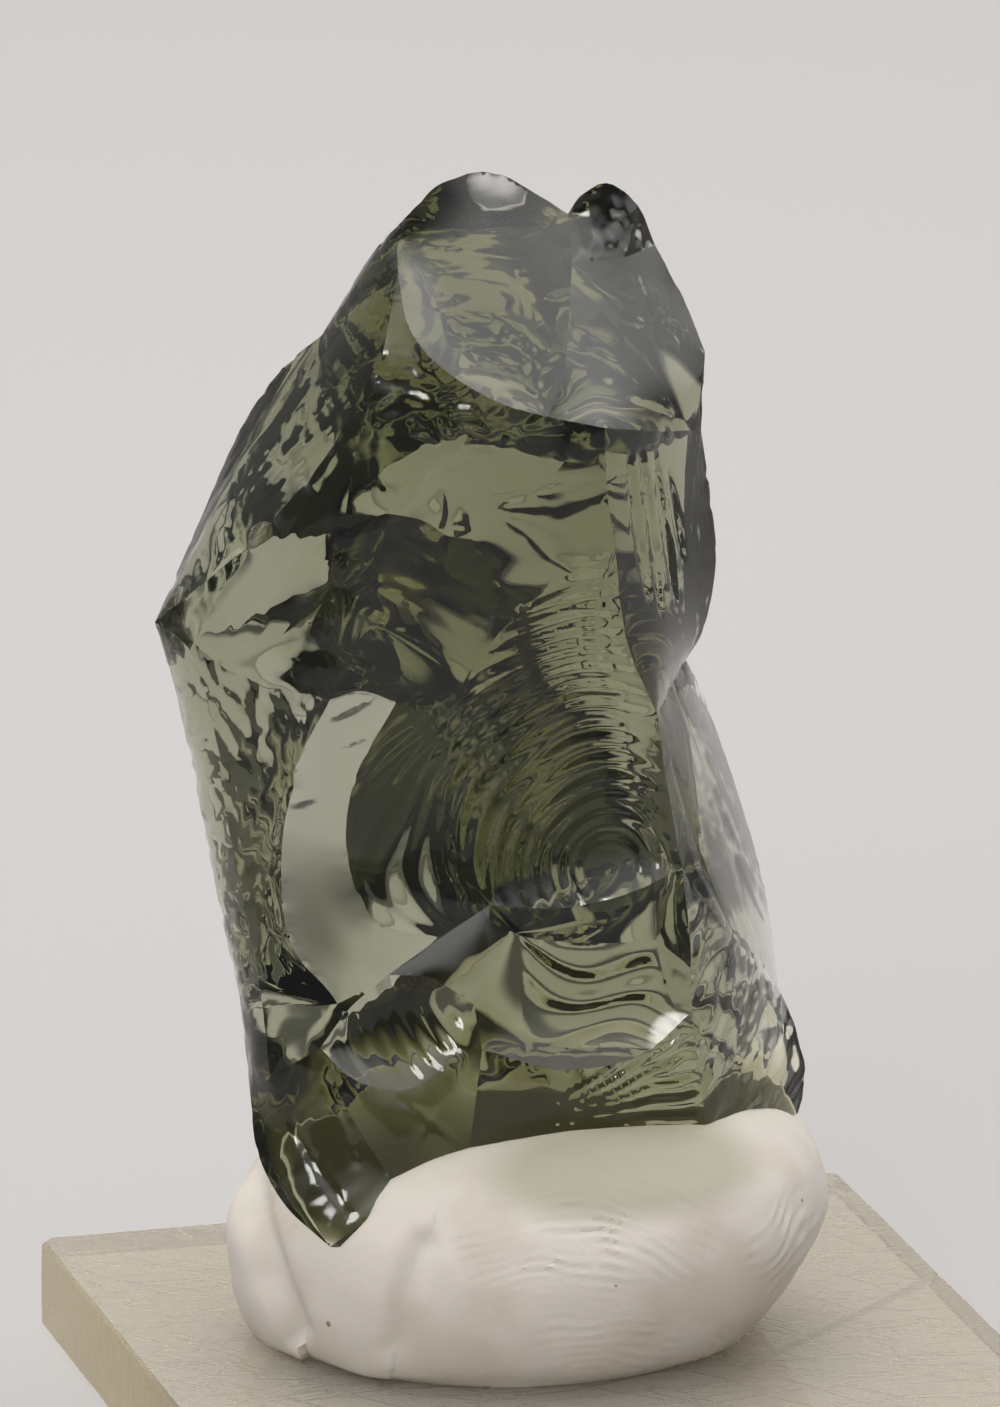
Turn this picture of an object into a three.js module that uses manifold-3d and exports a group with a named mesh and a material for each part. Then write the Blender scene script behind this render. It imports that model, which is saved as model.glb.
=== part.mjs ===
// Andara crystal: a lump of dark green natural glass, broken all over into shell-shaped scars that meet in
// sharp ridges. It stands on its broken foot in a hand-pressed ball of white putty, which sits on a small
// square slab of clear yellowed acrylic. Units are millimetres, +Z up, the origin in the middle of the
// slab's underside.
import * as THREE from "three";
import Module from "manifold-3d";

// The slab: a square sawn from sheet.
const SLAB = { side: 40, thickness: 4.3, cornerRadius: 0.4 };

// The specimen, glass and putty, is set on the slab turned a little to the right.
const SPECIMEN_TURN = THREE.MathUtils.degToRad(-15.5);

// The glass is drawn on one front elevation sheet, looked at from a little above. A corner is written
// [across, down, depth]: across and down are sheet units from the sheet's top left corner, and depth is in
// millimetres behind the glass's mid-plane, so a negative depth lies nearer the front.
const SHEET = { width: 1000, height: 1407, unitsPerMm: 21.38 };
const SIGHT = {
  distance: 637.1,
  pitch: THREE.MathUtils.degToRad(15.33),
  target: new THREE.Vector3(-2.52, 6, 33),
};
const MID_PLANE_Y = 3;

// How finely the glass is broken down: the spacing of points along a ridge and inside a scar.
const RIDGE_SPACING = 1.2;
const SCAR_SPACING = 1.5;

// The putty ball: outlines from the slab upwards, each an ellipse with its centre and half widths, and a top
// that rises to the right. Thumb creases run up its left side.
const PUTTY = {
  outlines: [
    { z: 4.3, x: -2.3, y: 1.4, halfWidth: 11, halfDepth: 10.4 },
    { z: 5.1, x: -2.15, y: 1.3, halfWidth: 11.8, halfDepth: 11 },
    { z: 6.5, x: -1.8, y: 1.2, halfWidth: 12.7, halfDepth: 11.5 },
    { z: 8.2, x: -1.3, y: 1.1, halfWidth: 13.4, halfDepth: 11.7 },
    { z: 10, x: -0.95, y: 1.1, halfWidth: 13.75, halfDepth: 11.6 },
    { z: 11.6, x: -0.85, y: 1.1, halfWidth: 13.4, halfDepth: 11 },
    { z: 12.9, x: -0.8, y: 1.1, halfWidth: 12.75, halfDepth: 10.1 },
    { z: 13.9, x: -0.8, y: 1.1, halfWidth: 11.8, halfDepth: 9.1 },
    { z: 14.6, x: -0.8, y: 1.1, halfWidth: 10.8, halfDepth: 8.15 },
    { z: 15.05, x: -0.8, y: 1.1, halfWidth: 9.6, halfDepth: 7.1 },
    { z: 15.3, x: -0.8, y: 1.1, halfWidth: 8.2, halfDepth: 5.9 },
    { z: 15.45, x: -0.8, y: 1.1, halfWidth: 6.5, halfDepth: 4.5 },
  ],
  topZ: 15.5,
  sides: 56,
  tilt: 0.05,
  creases: [
    { angle: 205, depth: 0.9, width: 7 },
    { angle: 243, depth: 0.35, width: 6 },
  ],
  lobes: [
    { angle: 190, height: 0.35, width: 12 },
    { angle: 228, height: 0.4, width: 14 },
    { angle: 330, height: 0.3, width: 25 },
  ],
};
const SOCKET_GAP = 0.33;

// Where three or more ridges meet.
const CORNERS = {
  // the outline, clockwise from the top left
  rimStart: [405, 218, -0.3], notch: [568, 214, 2.2], knobFoot: [655, 245, 4], shoulder: [705, 352, 3],
  cheek: [701, 430, 2], waist: [686, 660, 2.8], wingEnd: [778, 985, 3], heelToe: [798, 1113, -0.5],
  tip: [330, 1247, -11.2], bandFoot: [250, 1092, -6.5], leftHip: [240, 1000, -4.5],
  corner: [155, 622, 0], stripEnd: [322, 335, 2.8],
  // the front
  rimLeft: [398, 275, -2.5], ribTop: [383, 352, -4.5], rimLow: [548, 417, -7], prowTop: [605, 428, -6.5],
  knobRoot: [572, 262, -0.5], prowMid: [615, 548, -6.5], prowEnd: [657, 714, -5],
  bowlHeel: [682, 868, -5.5], spineTop: [490, 905, -6], heelBrow: [692, 1012, -7],
  spineFoot: [482, 1050, -8.3], lensRight: [474, 1005, -7.8], lensTop: [388, 975, -7.8],
  lensLeft: [320, 1048, -8.8], bandEnd: [270, 1078, -8.5], ribFoot: [256, 960, -6.5],
  tipRoot: [390, 1178, -9.8], footLeft: [470, 1146, -8.6], footRight: [706, 1128, -6.5],
  // the back and the foot
  skylightLeft: [425, 452, 2.6], skylightRight: [552, 446, 3.2], skylightFoot: [478, 522, 2.6],
  skylightHeel: [405, 505, 2], valleyFoot: [474, 650, 9], keelTop: [615, 436, 6],
  keelMid: [634, 700, 3.2], keelFoot: [648, 856, 1.2], browLeft: [398, 384, 10.2], nose: [402, 606, 8],
  bandTip: [350, 528, 1.4], bandTail: [224, 645, 3.6], crescentTop: [340, 695, -2.4],
  crescentHorn: [392, 692, -2.2], crescentFoot: [425, 928, -1.8], crescentTail: [335, 1000, -3],
  ledgeLeft: [505, 930, 1], ledgeRight: [668, 935, 1.5], paneRight: [700, 1062, 0.6],
  paneLeft: [510, 1062, 1], scoopFoot: [345, 1078, 1.5], soleRight: [690, 1190, 2.5],
  soleMid: [505, 1200, 2.5], soleLeft: [300, 1195, -2.5],
};

// Ridges, each from corner to corner through the bends between them.
const RIDGES = {
  crest: ["rimStart", [440, 184, 1], [492, 172, 2.6], [530, 190, 2.8], "notch"],
  knob: ["notch", [582, 194, 2], [606, 183, 2.2], [636, 203, 3], "knobFoot"],
  shoulderLine: ["knobFoot", [682, 295, 4], "shoulder"],
  cheekLine: ["shoulder", [703, 395, 2.4], "cheek"],
  belly: ["cheek", [711, 500, 1.6], [716, 560, 1.6], [703, 630, 2.2], "waist"],
  wingEdge: ["waist", [702, 692, 5], [740, 800, 6.5], [765, 890, 6], "wingEnd"],
  heelEdge: ["wingEnd", [798, 1035, 1], [806, 1080, 0], "heelToe"],
  tipLeft: ["bandFoot", [257, 1150, -8], [285, 1205, -9.9], "tip"],
  bandSide: ["leftHip", "bandFoot"],
  leftEdge: ["corner", [175, 690, -0.3], [200, 808, -1.5], [220, 910, -3], "leftHip"],
  longEdge: ["stripEnd", [280, 370, 4], [240, 430, 5], [200, 520, 4.2], [170, 588, 2], "corner"],
  stripEdge: ["rimStart", [372, 254, 2], "stripEnd"],
  rimStartLine: ["rimStart", [398, 245, -0.5], "rimLeft"],
  rimFront: ["rimLeft", [410, 330, -4.5], [442, 368, -6], [500, 403, -7], "rimLow"],
  rimProw: ["rimLow", "prowTop"],
  rimRight: ["prowTop", [650, 431, -3.5], "cheek"],
  bowlRight: ["knobRoot", [568, 330, -3.5], [562, 385, -6], "rimLow"],
  notchLine: ["notch", "knobRoot"],
  knobLine: ["knobRoot", [620, 258, 1.5], "knobFoot"],
  stripLine: ["rimLeft", [362, 302, -0.5], "stripEnd"],
  longTop: ["rimLeft", "ribTop"],
  longFoot: ["ribTop", [330, 450, -4.5], [290, 500, -4], [240, 552, -2.5], "corner"],
  midRib: ["ribTop", [352, 470, -5.5], [335, 600, -6], [300, 720, -6], [272, 850, -6], "ribFoot"],
  bandLine: ["corner", [188, 648, -2], [212, 720, -3.5], [224, 800, -4.5], [238, 880, -5.5], "ribFoot"],
  bandLower: ["ribFoot", [264, 1020, -7.6], "bandEnd"],
  bandShut: ["bandEnd", "bandFoot"],
  prowUpper: ["prowTop", [607, 490, -6.6], "prowMid"],
  prowLower: ["prowMid", [627, 640, -6.2], "prowEnd"],
  wingFront: ["prowEnd", [668, 790, -5.2], "bowlHeel"],
  waistLine: ["waist", "prowEnd"],
  wingFoot: ["bowlHeel", [720, 920, -4], "wingEnd"],
  bowlLeft: [
    "prowMid",
    [560, 580, -6.5],
    [500, 632, -6.3],
    [455, 700, -6],
    [440, 775, -6],
    [455, 850, -6],
    "spineTop",
  ],
  bowlFoot: ["spineTop", [560, 908, -6], [630, 893, -6], "bowlHeel"],
  heelSide: ["bowlHeel", [690, 940, -6.5], "heelBrow"],
  heelSideLow: ["heelBrow", [700, 1075, -7.2], "footRight"],
  scarFoot: ["spineFoot", [560, 1070, -8], [640, 1055, -7.5], "heelBrow"],
  spineUpper: ["spineTop", [486, 955, -7], "lensRight"],
  spineMid: ["lensRight", "spineFoot"],
  spineLower: ["spineFoot", "footLeft"],
  chinUpper: ["spineTop", [440, 938, -6.8], "lensTop"],
  chinMid: ["lensTop", [350, 1008, -8.3], "lensLeft"],
  chinLower: ["lensLeft", "bandEnd"],
  lensBrow: ["lensTop", [430, 978, -8], "lensRight"],
  lensLip: ["lensLeft", [355, 1080, -9.2], [405, 1090, -9], [450, 1060, -8.5], "lensRight"],
  tipRib: ["lensLeft", [345, 1105, -9.4], "tipRoot"],
  tipRight: ["tip", [372, 1214, -10.9], "tipRoot"],
  footFront: ["tipRoot", [430, 1161, -9.2], "footLeft"],
  footMid: ["footLeft", [548, 1127, -8], [630, 1126, -7.2], "footRight"],
  footHeel: ["footRight", [760, 1131, -3.6], "heelToe"],
  skylightBrow: ["skylightLeft", [452, 433, 2.6], [500, 431, 2.9], "skylightRight"],
  skylightSide: ["skylightRight", [540, 462, 3.3], [505, 474, 3], [478, 482, 2.9], "skylightFoot"],
  skylightSill: ["skylightFoot", [452, 520, 2.4], [432, 508, 2.1], "skylightHeel"],
  skylightJamb: ["skylightHeel", [412, 488, 2.1], [400, 474, 2.2], "skylightLeft"],
  napeUpper: ["rimStart", "browLeft"],
  napeLower: ["browLeft", "skylightLeft"],
  keelHead: ["skylightRight", "keelTop"],
  shoulderBack: ["keelTop", [670, 385, 7.5], "shoulder"],
  brow: ["browLeft", [500, 398, 10.8], "keelTop"],
  keelUpper: ["keelTop", [624, 570, 4.4], "keelMid"],
  keelLower: ["keelMid", "keelFoot"],
  waistBack: ["keelMid", "waist"],
  hipLine: ["browLeft", [368, 430, 8.5], [310, 490, 7], [250, 560, 5.5], "bandTail"],
  bandOver: ["bandTip", [290, 548, 1.4], "bandTail"],
  bandUnder: ["bandTip", [345, 568, 0.8], [300, 606, 0.8], "bandTail"],
  bandRoot: ["bandTip", "skylightHeel"],
  cornerBack: ["corner", [190, 637, 1.8], "bandTail"],
  tailLine: ["bandTail", [275, 678, 1], "crescentTop"],
  noseTop: ["nose", "skylightHeel"],
  noseLeft: ["nose", "crescentTop"],
  noseRight: ["nose", "crescentHorn"],
  valley: ["skylightFoot", [486, 570, 6], "valleyFoot"],
  valleyEnd: ["valleyFoot", [440, 676, 5], "crescentHorn"],
  backRib: ["valleyFoot", [492, 755, 13], [498, 860, 13.4], [502, 908, 11], "ledgeLeft"],
  crescentBrow: ["crescentTop", [368, 684, -2.4], "crescentHorn"],
  crescentIn: ["crescentHorn", [358, 770, -2.3], [350, 850, -2.3], [372, 915, -2], "crescentFoot"],
  crescentSill: ["crescentFoot", [385, 970, -2.6], "crescentTail"],
  crescentOut: ["crescentTail", [302, 930, -2.9], [294, 850, -2.8], [308, 760, -2.6], "crescentTop"],
  lip: ["bandTail", [216, 740, 4.2], [240, 860, 3.4], [285, 975, 1.2], "crescentTail"],
  ledgeBrow: ["ledgeLeft", [520, 927, 8], [578, 912, 6], "keelFoot"],
  ledgeSide: ["keelFoot", "ledgeRight"],
  ledgeEnd: ["ledgeLeft", "crescentFoot"],
  ledge: ["ledgeRight", "ledgeLeft"],
  wingRoot: ["ledgeRight", "wingEnd"],
  paneSide: ["ledgeRight", "paneRight"],
  paneSill: ["paneRight", "paneLeft"],
  paneJamb: ["paneLeft", "ledgeLeft"],
  hipBack: ["crescentTail", [290, 1008, -2.5], "leftHip"],
  scoopSide: ["crescentTail", "scoopFoot"],
  scoopLip: ["scoopFoot", [430, 1066, 4], "paneLeft"],
  footBackLine: ["paneLeft", "soleMid"],
  heelBackLine: ["paneRight", "soleRight"],
  soleBack: ["soleRight", "soleMid"],
  soleSide: ["soleMid", "soleLeft"],
  soleTip: ["soleLeft", "tip"],
  soleHeel: ["heelToe", "soleRight"],
};

// Scars, each bounded by a ring of ridges that runs anticlockwise seen from outside (a ridge with - before
// its name is followed backwards). hollow is how deep the scar dips below a skin stretched over its ridges,
// and a negative one swells out.
const SCARS = {
  bowl: { hollow: 0.8, loop: "rimStartLine rimFront -bowlRight -notchLine -crest" },
  knobFace: { hollow: -0.2, loop: "notchLine knobLine -knob" },
  topRight: { hollow: -0.1, loop: "bowlRight rimProw rimRight -cheekLine -shoulderLine -knobLine" },
  strip: { hollow: -0.15, loop: "stripEdge -stripLine -rimStartLine" },
  longFace: { hollow: -0.2, loop: "stripLine longEdge -longFoot -longTop" },
  leftFlank: { hollow: -0.3, loop: "longFoot bandLine -midRib" },
  mainFront: {
    hollow: -0.8,
    loop: "longTop midRib bandLower -chinLower -chinMid -chinUpper -bowlLeft -prowUpper -rimProw -rimFront",
  },
  leftBand: { hollow: -0.2, loop: "leftEdge bandSide -bandShut -bandLower -bandLine" },
  centralBowl: { hollow: 1, loop: "bowlLeft bowlFoot -wingFront -prowLower" },
  rightFace: { hollow: -0.2, loop: "prowUpper prowLower -waistLine -belly -rimRight" },
  wing: { hollow: -0.2, loop: "waistLine wingFront wingFoot -wingEdge" },
  frontScar: { hollow: 0.7, loop: "spineUpper spineMid scarFoot -heelSide -bowlFoot" },
  chin: { hollow: -0.3, loop: "chinUpper lensBrow -spineUpper" },
  lens: { hollow: 0.6, loop: "chinMid lensLip -lensBrow" },
  footPlain: { hollow: -0.3, loop: "tipRib footFront -spineLower -spineMid -lensLip" },
  footFront: { hollow: -0.2, loop: "spineLower footMid -heelSideLow -scarFoot" },
  heel: { hollow: -0.3, loop: "heelSide heelSideLow footHeel -heelEdge -wingFoot" },
  tipFace: { hollow: -0.2, loop: "chinLower bandShut tipLeft tipRight -tipRib" },
  nape: { hollow: -0.7, loop: "-napeUpper crest knob shoulderLine -shoulderBack -brow" },
  browUnder: { hollow: -0.4, loop: "brow -keelHead -skylightBrow -napeLower" },
  skylight: { hollow: -0.15, loop: "skylightBrow skylightSide skylightSill skylightJamb" },
  backFlank: {
    hollow: 0.2,
    loop: "keelHead keelUpper keelLower -ledgeBrow -backRib -valley -skylightSide",
  },
  innerWall: { hollow: -0.7, loop: "-valleyEnd backRib ledgeEnd -crescentIn" },
  rightBack: { hollow: 0.2, loop: "shoulderBack cheekLine belly -waistBack -keelUpper" },
  wingBack: { hollow: -0.3, loop: "waistBack wingEdge -wingRoot -ledgeSide -keelLower" },
  longOuter: { hollow: 0.2, loop: "napeUpper hipLine -cornerBack -longEdge -stripEdge" },
  longInner: { hollow: 0.2, loop: "-hipLine napeLower -skylightJamb -bandRoot bandOver" },
  band: { hollow: -0.1, loop: "bandUnder -bandOver" },
  noseLeft: { hollow: -0.3, loop: "bandRoot -noseTop noseLeft -tailLine -bandUnder" },
  noseRight: { hollow: -0.2, loop: "noseTop -skylightSill valley valleyEnd -noseRight" },
  noseLow: { hollow: -0.2, loop: "noseRight -crescentBrow -noseLeft" },
  crescent: { hollow: -0.2, loop: "crescentBrow crescentIn crescentSill crescentOut" },
  lipOuter: { hollow: -0.2, loop: "cornerBack lip hipBack -leftEdge" },
  lipInner: { hollow: -0.2, loop: "tailLine -crescentOut -lip" },
  ledgeFace: { hollow: -0.3, loop: "ledgeBrow ledgeSide ledge" },
  pane: { hollow: -0.3, loop: "-ledge paneSide paneSill paneJamb" },
  scoop: { hollow: -0.3, loop: "-ledgeEnd -paneJamb -scoopLip -scoopSide -crescentSill" },
  footBack: { hollow: -0.2, loop: "-paneSill heelBackLine soleBack -footBackLine" },
  heelBack: { hollow: -0.2, loop: "wingRoot heelEdge soleHeel -heelBackLine -paneSide" },
  lowerBack: {
    hollow: -0.2,
    loop: "-hipBack scoopSide scoopLip footBackLine soleSide soleTip -tipLeft -bandSide",
  },
  sole: {
    hollow: -3,
    loop: "-soleTip -soleSide -soleBack -soleHeel -footHeel -footMid -footFront -tipRight",
  },
};

const wasm = await Module();
wasm.setup();

// A sheet position and depth as a point in millimetres.
function place([across, down, depth]) {
  const ahead = new THREE.Vector3(0, Math.cos(SIGHT.pitch), -Math.sin(SIGHT.pitch));
  const up = new THREE.Vector3(0, Math.sin(SIGHT.pitch), Math.cos(SIGHT.pitch));
  const eye = SIGHT.target.clone().addScaledVector(ahead, -SIGHT.distance);
  const sheetDistance = SHEET.unitsPerMm * SIGHT.distance;
  const ray = ahead
    .clone()
    .addScaledVector(new THREE.Vector3(1, 0, 0), (across - SHEET.width / 2) / sheetDistance)
    .addScaledVector(up, (SHEET.height / 2 - down) / sheetDistance);
  return eye.clone().addScaledVector(ray, (MID_PLANE_Y + depth - eye.y) / ray.y);
}

// The points of every ridge, evenly spaced, as indices into one shared list, so neighbours meet exactly.
function layRidges(points) {
  const cornerIndex = {};
  for (const [name, corner] of Object.entries(CORNERS)) {
    cornerIndex[name] = points.push(place(corner)) - 1;
  }
  const ridges = {};
  for (const [name, stops] of Object.entries(RIDGES)) {
    const bends = stops.map((stop) => place(typeof stop === "string" ? CORNERS[stop] : stop));
    const curve = new THREE.CatmullRomCurve3(bends, false, "centripetal");
    const steps = Math.max(2, Math.round(curve.getLength() / RIDGE_SPACING));
    const inner = curve.getSpacedPoints(steps).slice(1, -1);
    const first = cornerIndex[stops[0]];
    const last = cornerIndex[stops[stops.length - 1]];
    ridges[name] = [first, ...inner.map((point) => points.push(point) - 1), last];
  }
  return ridges;
}

// The ring of point indices round a scar.
function scarRing(loop, ridges) {
  return loop.split(" ").flatMap((name) => {
    const ridge = name.startsWith("-") ? [...ridges[name.slice(1)]].reverse() : ridges[name];
    return ridge.slice(0, -1);
  });
}

// A flat frame laid through a ring of points: centre, two axes and the outward normal.
function fitPlane(ring) {
  const centre = ring.reduce((sum, p) => sum.add(p), new THREE.Vector3()).divideScalar(ring.length);
  const normal = new THREE.Vector3();
  ring.forEach((point, i) => {
    const next = ring[(i + 1) % ring.length];
    normal.add(point.clone().sub(centre).cross(next.clone().sub(centre)));
  });
  normal.normalize();
  const lean = Math.abs(normal.z) > 0.98 ? new THREE.Vector3(0, 1, 0) : new THREE.Vector3(0, 0, 1);
  const axisU = normal.clone().cross(lean).normalize();
  const axisV = normal.clone().cross(axisU);
  return { centre, normal, axisU, axisV };
}

function isInside(outline, u, v) {
  let inside = false;
  outline.forEach((a, i) => {
    const b = outline[(i + 1) % outline.length];
    if (a.y > v !== b.y > v && u < ((b.x - a.x) * (v - a.y)) / (b.y - a.y) + a.x) {
      inside = !inside;
    }
  });
  return inside;
}

// A honeycomb of points inside an outline, kept clear of its edge.
function honeycomb(outline, spacing) {
  const box = new THREE.Box2().setFromPoints(outline);
  const clear = 0.6 * Math.min(spacing, 1.2 * RIDGE_SPACING);
  const rowHeight = (spacing * Math.sqrt(3)) / 2;
  const found = [];
  let row = 0;
  for (let v = box.min.y; v < box.max.y; v += rowHeight) {
    for (let u = box.min.x + (row % 2) * 0.5 * spacing; u < box.max.x; u += spacing) {
      const point = new THREE.Vector2(u, v);
      if (isInside(outline, u, v) && outline.every((p) => p.distanceTo(point) > clear)) {
        found.push(point);
      }
    }
    row += 1;
  }
  return found;
}

// Twice the signed area of a triangle, positive when it turns anticlockwise.
function turn(a, b, c) {
  return (b.x - a.x) * (c.y - a.y) - (b.y - a.y) * (c.x - a.x);
}

// True when d lies inside the circle through a, b and c.
function inCircle(a, b, c, d) {
  const [ax, ay, bx, by, cx, cy] = [a.x - d.x, a.y - d.y, b.x - d.x, b.y - d.y, c.x - d.x, c.y - d.y];
  const [aa, bb, cc] = [ax * ax + ay * ay, bx * bx + by * by, cx * cx + cy * cy];
  return aa * (bx * cy - cx * by) - bb * (ax * cy - cx * ay) + cc * (ax * by - bx * ay) > 1e-9;
}

// Flips the shared side of neighbouring triangles until each pair is the fatter of its two choices.
function flipToFat(points, triangles) {
  for (let pass = 0; pass < 200; pass += 1) {
    const owner = new Map();
    triangles.forEach((t, i) => t.forEach((from, k) => owner.set(`${from},${t[(k + 1) % 3]}`, [i, k])));
    const touched = new Set();
    for (const [side, [i, k]] of owner) {
      const [from, to] = side.split(",").map(Number);
      const twin = owner.get(`${to},${from}`);
      if (!twin || touched.has(i) || touched.has(twin[0])) {
        continue;
      }
      const apex = triangles[i][(k + 2) % 3];
      const far = triangles[twin[0]][(twin[1] + 2) % 3];
      const [a, b, c, d] = [points[from], points[to], points[apex], points[far]];
      if (inCircle(a, b, c, d) && turn(a, d, c) > 0 && turn(d, b, c) > 0) {
        triangles[i] = [from, far, apex];
        triangles[twin[0]] = [far, to, apex];
        touched.add(i);
        touched.add(twin[0]);
      }
    }
    if (touched.size === 0) {
      return;
    }
  }
}

// Triangles over an outline and the points inside it, with every side of the outline kept.
function triangulate(outline, inner) {
  const points = [...outline, ...inner];
  const triangles = THREE.ShapeUtils.triangulateShape(outline, []);
  inner.forEach((point, i) => {
    const index = outline.length + i;
    const hit = triangles.findIndex(
      ([a, b, c]) =>
        turn(points[a], points[b], point) >= 0 &&
        turn(points[b], points[c], point) >= 0 &&
        turn(points[c], points[a], point) >= 0,
    );
    const [a, b, c] = triangles[hit];
    triangles[hit] = [a, b, index];
    triangles.push([b, c, index], [c, a, index]);
  });
  flipToFat(points, triangles);
  return triangles;
}

// The height of a skin stretched over the ring at (u, v), by mean value weights, and how far from the ring
// that place is, both without any crease.
function skinAt(outline, heights, place) {
  const spokes = outline.map((p) => p.clone().sub(place));
  const lengths = spokes.map((spoke) => spoke.length());
  const halfAngles = spokes.map((spoke, i) => {
    const j = (i + 1) % spokes.length;
    return spoke.cross(spokes[j]) / (lengths[i] * lengths[j] + spoke.dot(spokes[j]));
  });
  let weighted = 0;
  let weights = 0;
  let crowding = 0;
  spokes.forEach((spoke, i) => {
    const last = (i + spokes.length - 1) % spokes.length;
    const next = (i + 1) % spokes.length;
    const weight = (halfAngles[last] + halfAngles[i]) / lengths[i];
    const share = (outline[last].distanceTo(outline[i]) + outline[i].distanceTo(outline[next])) / 2;
    weighted += weight * heights[i];
    weights += weight;
    crowding += share / lengths[i] ** 4;
  });
  return { height: weighted / weights, inset: Math.cbrt(Math.PI / 2 / crowding) };
}

// Covers one scar: its ring is shared with its neighbours, and its own points dip or swell between them.
function coverScar({ hollow, loop }, ridges, points, faces) {
  const ring = scarRing(loop, ridges);
  const ringPoints = ring.map((index) => points[index]);
  const { centre, normal, axisU, axisV } = fitPlane(ringPoints);
  const arms = ringPoints.map((point) => point.clone().sub(centre));
  const outline = arms.map((arm) => new THREE.Vector2(arm.dot(axisU), arm.dot(axisV)));
  const heights = arms.map((arm) => arm.dot(normal));
  const inner = honeycomb(outline, SCAR_SPACING);
  const skin = inner.map((point) => skinAt(outline, heights, point));
  const deepest = Math.max(...skin.map(({ inset }) => inset));
  const innerIndices = inner.map((point, i) => {
    const dip = hollow * Math.sin(((Math.PI / 2) * skin[i].inset) / deepest);
    const vertex = centre
      .clone()
      .addScaledVector(axisU, point.x)
      .addScaledVector(axisV, point.y)
      .addScaledVector(normal, skin[i].height - dip);
    return points.push(vertex) - 1;
  });
  const indices = [...ring, ...innerIndices];
  for (const triangle of triangulate(outline, inner)) {
    faces.push(...triangle.map((corner) => indices[corner]));
  }
}

// A closed three.js geometry from shared points and face indices.
function closedGeometry(points, faces) {
  const geometry = new THREE.BufferGeometry();
  const places = points.flatMap((point) => point.toArray());
  geometry.setAttribute("position", new THREE.Float32BufferAttribute(places, 3));
  geometry.setIndex(faces);
  return geometry;
}

function buildGlass() {
  const points = [];
  const faces = [];
  const ridges = layRidges(points);
  Object.values(SCARS).forEach((scar) => coverScar(scar, ridges, points, faces));
  return closedGeometry(points, faces);
}

// How far the putty stands in or out at an angle, from its creases and lobes.
function puttyRelief(degrees) {
  const bump = (centre, width) => {
    const off = ((degrees - centre + 540) % 360) - 180;
    return Math.exp(-((off / width) ** 2));
  };
  const sunk = PUTTY.creases.reduce((sum, { angle, depth, width }) => sum + depth * bump(angle, width), 0);
  return PUTTY.lobes.reduce((sum, { angle, height, width }) => sum + height * bump(angle, width), -sunk);
}

// The ball of putty before the glass is pressed in: its outlines stacked, flat below and closed above.
function buildPuttyBall() {
  const { outlines, sides, tilt, topZ } = PUTTY;
  const points = [];
  const faces = [];
  const baseZ = outlines[0].z;
  const lift = (z, x) => (tilt * x * (z - baseZ)) / (topZ - baseZ);
  for (const { z, x, y, halfWidth, halfDepth } of outlines) {
    for (let i = 0; i < sides; i += 1) {
      const degrees = (360 * i) / sides;
      const angle = THREE.MathUtils.degToRad(degrees);
      const relief = puttyRelief(degrees);
      const px = x + (halfWidth + relief) * Math.cos(angle);
      const py = y + (halfDepth + relief) * Math.sin(angle);
      points.push(new THREE.Vector3(px, py, z + lift(z, px)));
    }
  }
  for (let level = 0; level + 1 < outlines.length; level += 1) {
    for (let i = 0; i < sides; i += 1) {
      const here = level * sides + i;
      const beside = level * sides + ((i + 1) % sides);
      faces.push(here, beside, beside + sides, here, beside + sides, here + sides);
    }
  }
  const bottom = points.push(new THREE.Vector3(outlines[0].x, outlines[0].y, baseZ)) - 1;
  const last = outlines[outlines.length - 1];
  const top = points.push(new THREE.Vector3(last.x, last.y, topZ + lift(topZ, last.x))) - 1;
  const rim = (outlines.length - 1) * sides;
  for (let i = 0; i < sides; i += 1) {
    const next = (i + 1) % sides;
    faces.push(bottom, next, i, top, rim + i, rim + next);
  }
  return closedGeometry(points, faces);
}

// The glass grown by the socket's gap, to press its own shape into the putty.
function growGeometry(geometry, gap) {
  const grown = geometry.clone();
  grown.computeVertexNormals();
  const places = grown.getAttribute("position");
  const normal = grown.getAttribute("normal");
  for (let i = 0; i < places.count; i += 1) {
    places.setXYZ(
      i,
      places.getX(i) + gap * normal.getX(i),
      places.getY(i) + gap * normal.getY(i),
      places.getZ(i) + gap * normal.getZ(i),
    );
  }
  return grown;
}

function toSolid(geometry) {
  const vertProperties = geometry.getAttribute("position").array;
  const triVerts = Uint32Array.from(geometry.index.array);
  return new wasm.Manifold(new wasm.Mesh({ numProp: 3, vertProperties, triVerts }));
}

function fromSolid(solid) {
  const { numProp, vertProperties, triVerts } = solid.getMesh();
  const geometry = new THREE.BufferGeometry();
  const places = Array.from({ length: vertProperties.length / numProp }, (_, i) =>
    Array.from(vertProperties.slice(i * numProp, i * numProp + 3)),
  );
  geometry.setAttribute("position", new THREE.Float32BufferAttribute(places.flat(), 3));
  geometry.setIndex(Array.from(triVerts));
  return geometry;
}

function buildPutty(glass) {
  const socket = toSolid(growGeometry(glass, SOCKET_GAP));
  return fromSolid(toSolid(buildPuttyBall()).subtract(socket));
}

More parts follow.
